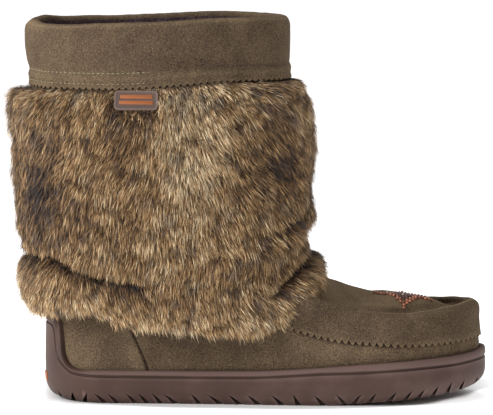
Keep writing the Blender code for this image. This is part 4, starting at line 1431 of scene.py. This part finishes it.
def even_columns(grid, count):
    """The same closed grid with its columns spaced evenly round its middle row."""
    middle = grid[len(grid) // 2]
    steps = np.linalg.norm(np.roll(middle, -1, axis=0) - middle, axis=1)
    length = np.concatenate([[0], np.cumsum(steps)])
    column = np.interp(np.arange(count) / count * length[-1], length, np.arange(len(length)))
    rows = np.arange(len(grid), dtype=float)
    return sample(grid, *np.meshgrid(column, np.minimum(rows, len(grid) - 1.001)))


print("pelt of", len(PELT), "rings")

# %% Folds and swells of the pelt
Mark = namedtuple("Mark", "place height wide tall amount")
CREASES = (  # folds across the fur: points along each and how far it sinks
    (((-13, 95), (-4, 98.5), (13, 96), (22, 90), (32, 86), (43, 83), (61, 82)), 3.2),
    (((171, 97), (164, 90.5), (156, 82.5), (147, 74.5)), 2.5),
    (((82, 64), (95, 57), (118, 55)), 1.0),
)
CREASE_WIDTH = 3.4
ROLLS = (  # swells below the folds
    Mark(-4, 78, 22, 11, 1.6),
    Mark(30, 72, 24, 10, 2.5),
    Mark(110, 160, 40, 30, 2.0),
    Mark(20, 160, 26, 30, 1.5),
)


def from_line(x, z, line):
    """Distance from a line of points, seen from the side."""
    best = np.full(x.shape, 1e9)
    for (x0, z0), (x1, z1) in zip(line, line[1:]):
        dx, dz = x1 - x0, z1 - z0
        t = np.clip(((x - x0) * dx + (z - z0) * dz) / (dx * dx + dz * dz), 0, 1)
        best = np.minimum(best, np.hypot(x - x0 - t * dx, z - z0 - t * dz))
    return best


def marks(x, z, rows):
    """The sum of the soft marks of a chart, seen from the side."""
    total = np.zeros(x.shape)
    for mark in rows:
        total += mark.amount * bump(x, mark.place, mark.wide) * bump(z, mark.height, mark.tall)
    return total


print("creases", [depth for _, depth in CREASES], "mm deep")

# %% Pelt under the fur
PELT_PARTS, PELT_COLUMNS = 8, 320
PELT_THICKNESS = 7.0
PELT_BACK_ROWS = (0, 12, 30, 50)  # rows of the face that its back follows, apart from the last
pelt = even_columns(finer([pelt_ring(row) for row in PELT], PELT_PARTS), PELT_COLUMNS)
pelt_out = facing(pelt)
x, z = pelt[..., 0], pelt[..., 2]
sink = sum(depth * bump(from_line(x, z, line), 0, CREASE_WIDTH) for line, depth in CREASES)
lift = marks(x, z, ROLLS) - sink + 0.5 * ripple(pelt, 24.0, 31) + 0.4 * ripple(pelt, 9.0, 32)
edge_held = 1 - soft_step(z, 192, 203)
pelt = pelt + pelt_out * (lift * edge_held)[..., None]
pelt_out = facing(pelt)
back_rows = [*PELT_BACK_ROWS, len(pelt) - 1]
inside = pelt[back_rows] - PELT_THICKNESS * pelt_out[back_rows]
skin = wall_sheet("pelt_skin", pelt[::2, ::2], inside[:, ::2], None)
print("pelt", pelt.shape)

# %% Charts of the fur: where it leans and how light it is
Comb = namedtuple("Comb", "place height lean")  # degrees from straight down, towards the toe
COMB = (
    Comb(-17, 199, -55),
    Comb(-4, 193, -35),
    Comb(9, 180, -25),
    Comb(9, 147, -22),
    Comb(-10, 147, -25),
    Comb(29, 199, -12),
    Comb(35, 167, -20),
    Comb(55, 167, -40),
    Comb(45, 134, -12),
    Comb(68, 182, -20),
    Comb(78, 153, -12),
    Comb(84, 199, -5),
    Comb(88, 167, 2),
    Comb(107, 180, 20),
    Comb(120, 160, 35),
    Comb(110, 134, 20),
    Comb(94, 121, 5),
    Comb(133, 186, 28),
    Comb(153, 193, 30),
    Comb(147, 153, 42),
    Comb(166, 167, 38),
    Comb(160, 121, 38),
    Comb(133, 121, 25),
    Comb(9, 108, -15),
    Comb(48, 108, -5),
    Comb(88, 95, 0),
    Comb(127, 88, 5),
    Comb(160, 95, 20),
    Comb(176, 93, 48),
    Comb(-10, 68, -25),
    Comb(9, 65, -10),
    Comb(35, 62, 15),
    Comb(55, 52, 5),
    Comb(88, 52, 0),
    Comb(127, 49, 0),
    Comb(153, 59, 20),
    Comb(173, 78, 45),
)
TONES = (
    Mark(95, 165, 22, 48, 0.22),
    Mark(100, 193, 22, 12, 0.12),
    Mark(56, 175, 9, 22, -0.22),
    Mark(0, 138, 10, 24, -0.16),
    Mark(147, 163, 21, 30, -0.23),
    Mark(150, 112, 22, 16, -0.05),
    Mark(6, 140, 20, 30, -0.3),
    Mark(5, 78, 25, 12, 0.14),
    Mark(85, 55, 65, 10, 0.2),
    Mark(150, 66, 20, 12, 0.14),
    Mark(158, 192, 14, 12, 0.07),
    Mark(100, 122, 25, 18, 0.06),
    Mark(8, 176, 20, 14, -0.05),
    Mark(60, 204, 120, 5, 0.2),
)
COMB_REACH = 17  # millimetres over which a row of the comb chart counts
print("charts of", len(COMB), "leans and", len(TONES), "tones")


# %% Direction of the hairs
def combed(x, z):
    """The lean of the fur at points, weighed from the chart by nearness."""
    total, weight = np.zeros(x.shape), np.full(x.shape, 1e-9)
    for row in COMB:
        away = ((x - row.place) / COMB_REACH) ** 2 + ((z - row.height) / COMB_REACH) ** 2
        near = np.exp(-away) + 1e-5
        total += near * row.lean
        weight += near
    return np.radians(total / weight)


x, z = pelt[..., 0], pelt[..., 2]
climb = np.gradient(pelt, axis=0)
climb -= pelt_out * (climb * pelt_out).sum(axis=-1, keepdims=True)
down = -climb / np.linalg.norm(climb, axis=-1, keepdims=True)
forward = np.cross(down, pelt_out)
# It points to the toe on both sides of the leg.
forward *= np.where(pelt[..., 1:2] == 0, 1, np.sign(forward[..., 0:1] + 1e-9))
ends = np.minimum(soft_step(x, -12, 0), 1 - 0.6 * soft_step(x, 158, 170))[..., None]
lean = (combed(x, z) + 0.12 * ripple(pelt, 22.0, 41))[..., None] * ends
flow = down * np.cos(lean) + forward * np.sin(lean)
print("leans within", round(float(np.degrees(np.abs(lean).max()))), "degrees of straight down")

# %% Tone of the hairs
near_side = 1 - soft_step(pelt[..., 1], -25, 10)  # the outer side of the leg
tone = 0.48 + mix(0.55, 1.0, near_side) * marks(x, z, TONES)
tone += 0.06 * ripple(pelt, 30.0, 42) + 0.05 * ripple(pelt, 12.0, 43)
# Painted shade darkens the hairs along the creases, more on the outer side.
for line, depth in CREASES:
    tone -= 0.09 * depth * bump(from_line(x, z, line), 0, 3.0) * mix(0.5, 1.0, near_side)
print("tone from", round(float(tone.min()), 2), "to", round(float(tone.max()), 2))

# %% Length and lift of the hairs
# A real guard hair is under 0.1 mm thick. Each blade is drawn as wide as the lock of a few hairs
# that can be told apart from an arm's length.
HAIR_LENGTH, HAIR_WIDTH = 11.5, 0.46
length = HAIR_LENGTH * (1 + 0.1 * ripple(pelt, 14.0, 44)) * mix(0.8, 1.0, soft_step(z, 60, 90))
length *= 1 - 0.3 * soft_step(z, 192, 204)
for line, _ in CREASES[:2]:  # the two long folds
    above = soft_step(z - np.interp(x, *np.array(sorted(line)).T), -1.0, 2.0)
    length *= 1 - 0.5 * above * bump(from_line(x, z, line), 0, 8.0)  # cut short, so the fold shows
rise = 1 + 0.25 * ripple(pelt, 11.0, 45) + 0.5 * soft_step(z, 175, 198) * (1 - soft_step(x, -5, 20))
rise *= 1 - mix(0.3, 0.8, soft_step(x, 148, 160)) * soft_step(z, 198, 205)  # held by the cuff
ridge = np.maximum(soft_step(x, 160, 172), 1 - soft_step(x, -14, -4))
rise += 0.5 * ridge * np.maximum(ripple(pelt, 7.0, 46), 0)  # tufts stand out in front and behind
under_label = np.minimum(soft_step(x, 43, 46), 1 - soft_step(x, 75, 78))
under_label = under_label * soft_step(z, 188.5, 191) * near_side
length *= 1 - 0.8 * under_label  # pressed flat there
size = np.stack([length * rise, np.full(x.shape, HAIR_WIDTH), length], axis=-1) * MM
print("hairs from", round(float(length.min()), 1), "to", round(float(length.max()), 1), "mm")


# %% Blades that stand in for hairs
def blade(name, middle, tip):
    """One flat bent hair: a root, a bend and a tip, with its share of the length kept on it."""
    (mx, my, mz), (tx, ty) = middle, tip
    points = [(0, -0.35, 0), (0, 0.35, 0), (mx, my + 0.5, mz), (mx, my - 0.5, mz), (tx, ty, 1.0)]
    mesh = bpy.data.meshes.new(name)
    mesh.from_pydata(points, [], [(0, 1, 2), (0, 2, 3), (3, 2, 4)])
    mesh.shade_smooth()
    along = mesh.attributes.new("along", "FLOAT", "POINT")
    along.data.foreach_set("value", (0.0, 0.0, mz, mz, 1.0))
    return bpy.data.objects.new(name, mesh)


blades = [
    blade("hair_a", (0.30, 0.0, 0.45), (0.36, 0.0)),
    blade("hair_b", (0.24, 0.2, 0.50), (0.44, 0.6)),
    blade("hair_c", (0.34, -0.2, 0.42), (0.26, -0.7)),
    blade("hair_d", (0.28, 0.1, 0.55), (0.30, -0.4)),
]
print("blades", [shape.name for shape in blades])


# %% Fur and pelt materials
def fur_material(name):
    """Hair with a dark root, a band of colour and here and there a dark tip."""
    made, tree, shader, _ = new_material(name)
    chance, tuft, patch, along, charted = (
        add(tree, "ShaderNodeAttribute", attribute_name=called).outputs["Fac"]
        for called in ("chance", "tuft", "slate", "along", "tone")
    )
    own_tone = add(tree, "ShaderNodeMapRange", {0: chance, 3: -0.24, 4: 0.24})
    tufts = add(tree, "ShaderNodeMapRange", {0: tuft, 1: 0.3, 2: 0.7, 3: -0.26, 4: 0.26})
    tone = add(tree, "ShaderNodeMath", {0: charted, 1: own_tone}, operation="ADD")
    tone = add(tree, "ShaderNodeMath", {0: tone, 1: tufts}, operation="ADD")
    stops = ((0.1, "322a2a"), (0.3, "6c5238"), (0.5, "a88257"), (0.7, "d4af7e"), (0.9, "eed8b2"))
    shade = add(tree, "ShaderNodeValToRGB", {0: tone}, stops)
    # Patches of slate-grey undercoat show between the brown tufts.
    slate = add(tree, "ShaderNodeMapRange", {0: patch, 1: 0.54, 2: 0.64, 4: 0.7})
    inputs = {0: slate, 6: shade, 7: colour("4e4446")}
    shade = add(tree, "ShaderNodeMix", inputs, data_type="RGBA").outputs[2]
    stops = ((0.0, "544a42"), (0.45, "a0968c"), (0.68, "ffffff"))
    root = add(tree, "ShaderNodeValToRGB", {0: along}, stops)
    inputs = {0: 1.0, 6: shade, 7: root}
    lit = add(tree, "ShaderNodeMix", inputs, data_type="RGBA", blend_type="MULTIPLY").outputs[2]
    # Nearly half of the guard hairs end in a dark tip.
    tip = add(tree, "ShaderNodeMapRange", {0: along, 1: 0.72, 2: 1.0})
    often = add(tree, "ShaderNodeMath", {0: chance, 1: 7.0}, operation="MULTIPLY")
    often = add(tree, "ShaderNodeMath", {0: often}, operation="FRACT")
    often = add(tree, "ShaderNodeMath", {0: often, 1: 0.55}, operation="GREATER_THAN")
    dark = add(tree, "ShaderNodeMath", {0: tip, 1: often}, operation="MULTIPLY")
    dark = add(tree, "ShaderNodeMath", {0: dark, 1: 0.7}, operation="MULTIPLY")
    inputs = {0: dark, 6: lit, 7: colour("332924")}
    final = add(tree, "ShaderNodeMix", inputs, data_type="RGBA").outputs[2]
    feed(tree, shader, {"Base Color": final, "Roughness": 0.6})
    feed(tree, shader, {"Specular IOR Level": 0.25, "Sheen Weight": 0.15})
    return made


# Rabbit pelt, combed: silky but without one highlight, since its hairs lie unevenly.
FUR = fur_material("rabbit_fur")
# The pelt's skin, painted dark for the undercoat and for the shade deep among the hairs: matt, and
# hardly seen between them.
PELT_UNDERCOAT_SHADE = napped("pelt_undercoat_and_shade", "2a211c", "3d3027", "52443a", 0.8, 9.0, 0.3)
skin.data.materials.append(PELT_UNDERCOAT_SHADE)
own(skin, "rabbit_fur", "fur_shaft")

# %% Hairs on four pelts
TRIANGLES_A_PELT = 180000
HAIR_TRIANGLES, HAIR_POINTS = 3, 5
PELTS, BAKE_LAYER = 4, "OFBake"
# Where a hair's five points lie in its own square of the UV map.
HAIR_CORNERS = np.array(((0.1, 0.05), (0.9, 0.05), (0.9, 0.5), (0.1, 0.5), (0.5, 0.95)))
rows, columns = pelt.shape[:2]
layers = [part.reshape(-1, 3) for part in (flow, pelt_out, size)]
quarter = columns // PELTS
for index in range(PELTS):
    faces = grid_faces(rows, columns, only=range(index * quarter, (index + 1) * quarter))
    source = guide(f"pelt_points_{index + 1}", pelt.reshape(-1, 3), *layers, faces)
    layer = source.data.attributes.new("tone", "FLOAT", "POINT")
    layer.data.foreach_set("value", tone.astype(np.float32).ravel())
    area = sum(p.area for p in source.data.polygons)
    density = TRIANGLES_A_PELT / HAIR_TRIANGLES / area
    kit = [shape.copy() for shape in blades]
    fur = repeats(f"fur_{index + 1}", source, kit, FUR, density, spread=0.9, seed=index + 5, sway=0.85)
    count = len(fur.data.vertices) // HAIR_POINTS
    side = int(count**0.5) + 1
    cells = np.arange(count)
    place = (np.stack([cells % side, cells // side], axis=1)[:, None, :] + HAIR_CORNERS) / side
    loops = np.empty(len(fur.data.loops), dtype=np.int32)
    fur.data.loops.foreach_get("vertex_index", loops)
    layer = fur.data.uv_layers.new(name=BAKE_LAYER)
    layer.data.foreach_set("uv", place.reshape(-1, 2)[loops].astype(np.float32).ravel())
    own(fur, "rabbit_fur")

# %% [markdown]
# ## Insole, studio and camera
#
# The insole is a plain felt pad and its solid is already right. The studio is a wide white floor
# under a white sky, with a large soft light from the heel side and above, as in a catalogue. A
# long lens a little above the boot looks down on it by a few degrees. White paper would turn grey
# in so little light, so it glows faintly, except on a patch drawn round the sole, where the shade
# under the boot is left to show.

# %% Insole
for thing in bpy.context.scene.objects:
    if thing.get("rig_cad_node") == "insole":
        thing.data.materials.clear()
        thing.data.materials.append(FELT)
        print("insole felted")

# %% Paper of the studio floor
WHITE = (1.0, 1.0, 1.0, 1.0)
FLOOR_GLOW = 0.66
# Matt white background paper.
PAPER, tree, shader, _ = new_material("studio_floor")
lit = add(tree, "ShaderNodeAttribute", attribute_name="lit").outputs["Fac"]
glow = add(tree, "ShaderNodeMath", {0: lit, 1: FLOOR_GLOW}, operation="MULTIPLY")
feed(tree, shader, {"Base Color": (0.92, 0.92, 0.92, 1.0), "Roughness": 0.9})
feed(tree, shader, {"Emission Color": WHITE, "Emission Strength": glow})
print("paper glows", FLOOR_GLOW)

# %% Studio floor
Shadow = namedtuple("Shadow", "place side")
SHADOW_EDGE = (  # where the contact shadow ends on the viewer's side
    Shadow(-4.0, 130.0),
    Shadow(4.0, 28.0),
    Shadow(9.0, -4.0),
    Shadow(18.0, -27.0),
    Shadow(30.0, -34.0),
    Shadow(55.0, -42.0),
    Shadow(81.0, -50.0),
    Shadow(133.0, -56.0),
    Shadow(160.0, -60.0),
    Shadow(199.0, -55.0),
    Shadow(232.0, -43.0),
    Shadow(245.0, -34.0),
    Shadow(258.0, -14.0),
    Shadow(271.0, 9.0),
    Shadow(282.0, 40.0),
    Shadow(296.0, 60.0),
)
FLOOR_HALF = 20000.0
along = np.concatenate([[-FLOOR_HALF], np.linspace(-20.0, 310.0, 166), [FLOOR_HALF]])
across = np.concatenate([[-FLOOR_HALF], np.linspace(-100.0, 140.0, 121), [FLOOR_HALF]])
x, y = np.meshgrid(along, across)
floor = sheet_object("studio_floor", np.stack([x, y, 0 * x], axis=-1), PAPER, round_about=False)
edge = table(SHADOW_EDGE, "side", x)
near = (edge - y) / np.hypot(1.0, np.gradient(edge, axis=1) / np.gradient(x, axis=1))
lit = np.maximum(soft_step(near, 0.0, 10.0), soft_step(y, 70.0, 100.0))
lit = np.maximum(lit, 0.85 * soft_step(x, 270.0, 302.0))  # the shadow thins out under the toe
layer = floor.data.attributes.new("lit", "FLOAT", "POINT")
layer.data.foreach_set("value", lit.astype(np.float32).ravel())
print("floor of", len(floor.data.polygons), "faces")

# %% Light
scene = bpy.context.scene
world = bpy.data.worlds.new("studio")
scene.world = world
world.use_nodes = True
feed(world.node_tree, world.node_tree.nodes["Background"], {"Color": WHITE, "Strength": 0.42})


def area_light(name, place, aim, size, power):
    """A round soft light of a width in metres and a power in watts, turned to its aim."""
    lamp = bpy.data.lights.new(name, "AREA")
    lamp.shape, lamp.size, lamp.energy = "DISK", size, power
    thing = bpy.data.objects.new(name, lamp)
    scene.collection.objects.link(thing)
    thing.location = place
    thing.rotation_euler = (Vector(aim) - Vector(place)).to_track_quat("-Z", "Y").to_euler()


area_light("key", (-2.5, -1.1, 1.5), (0.0, 0.0, 0.1), 1.2, 80.0)
area_light("fill", (2.2, -1.6, 1.0), (0.0, 0.0, 0.1), 1.6, 1.0)
area_light("top", (0.0, 0.6, 2.4), (0.0, 0.0, 0.0), 1.4, 14.0)
print("lights", len(bpy.data.lights))

# %% Camera
DISTANCE, EYE_HEIGHT, AIM_X, AIM_HEIGHT = 3.5, 0.464, 0.0, 0.1237  # metres
FRAME_WIDTH = 0.3205  # metres across the picture at the boot
SENSOR = 36.0  # millimetres
eye = Vector((AIM_X, -DISTANCE, EYE_HEIGHT))
aim = Vector((AIM_X, 0.0, AIM_HEIGHT))
lens = bpy.data.cameras.new("camera")
lens.sensor_width = SENSOR
lens.lens = SENSOR * (aim - eye).length / FRAME_WIDTH
camera = bpy.data.objects.new("camera", lens)
scene.collection.objects.link(camera)
camera.location = eye
camera.rotation_euler = (aim - eye).to_track_quat("-Z", "Y").to_euler()
scene.camera = camera
scene.view_settings.view_transform = "Standard"
print("lens", round(lens.lens), "mm")
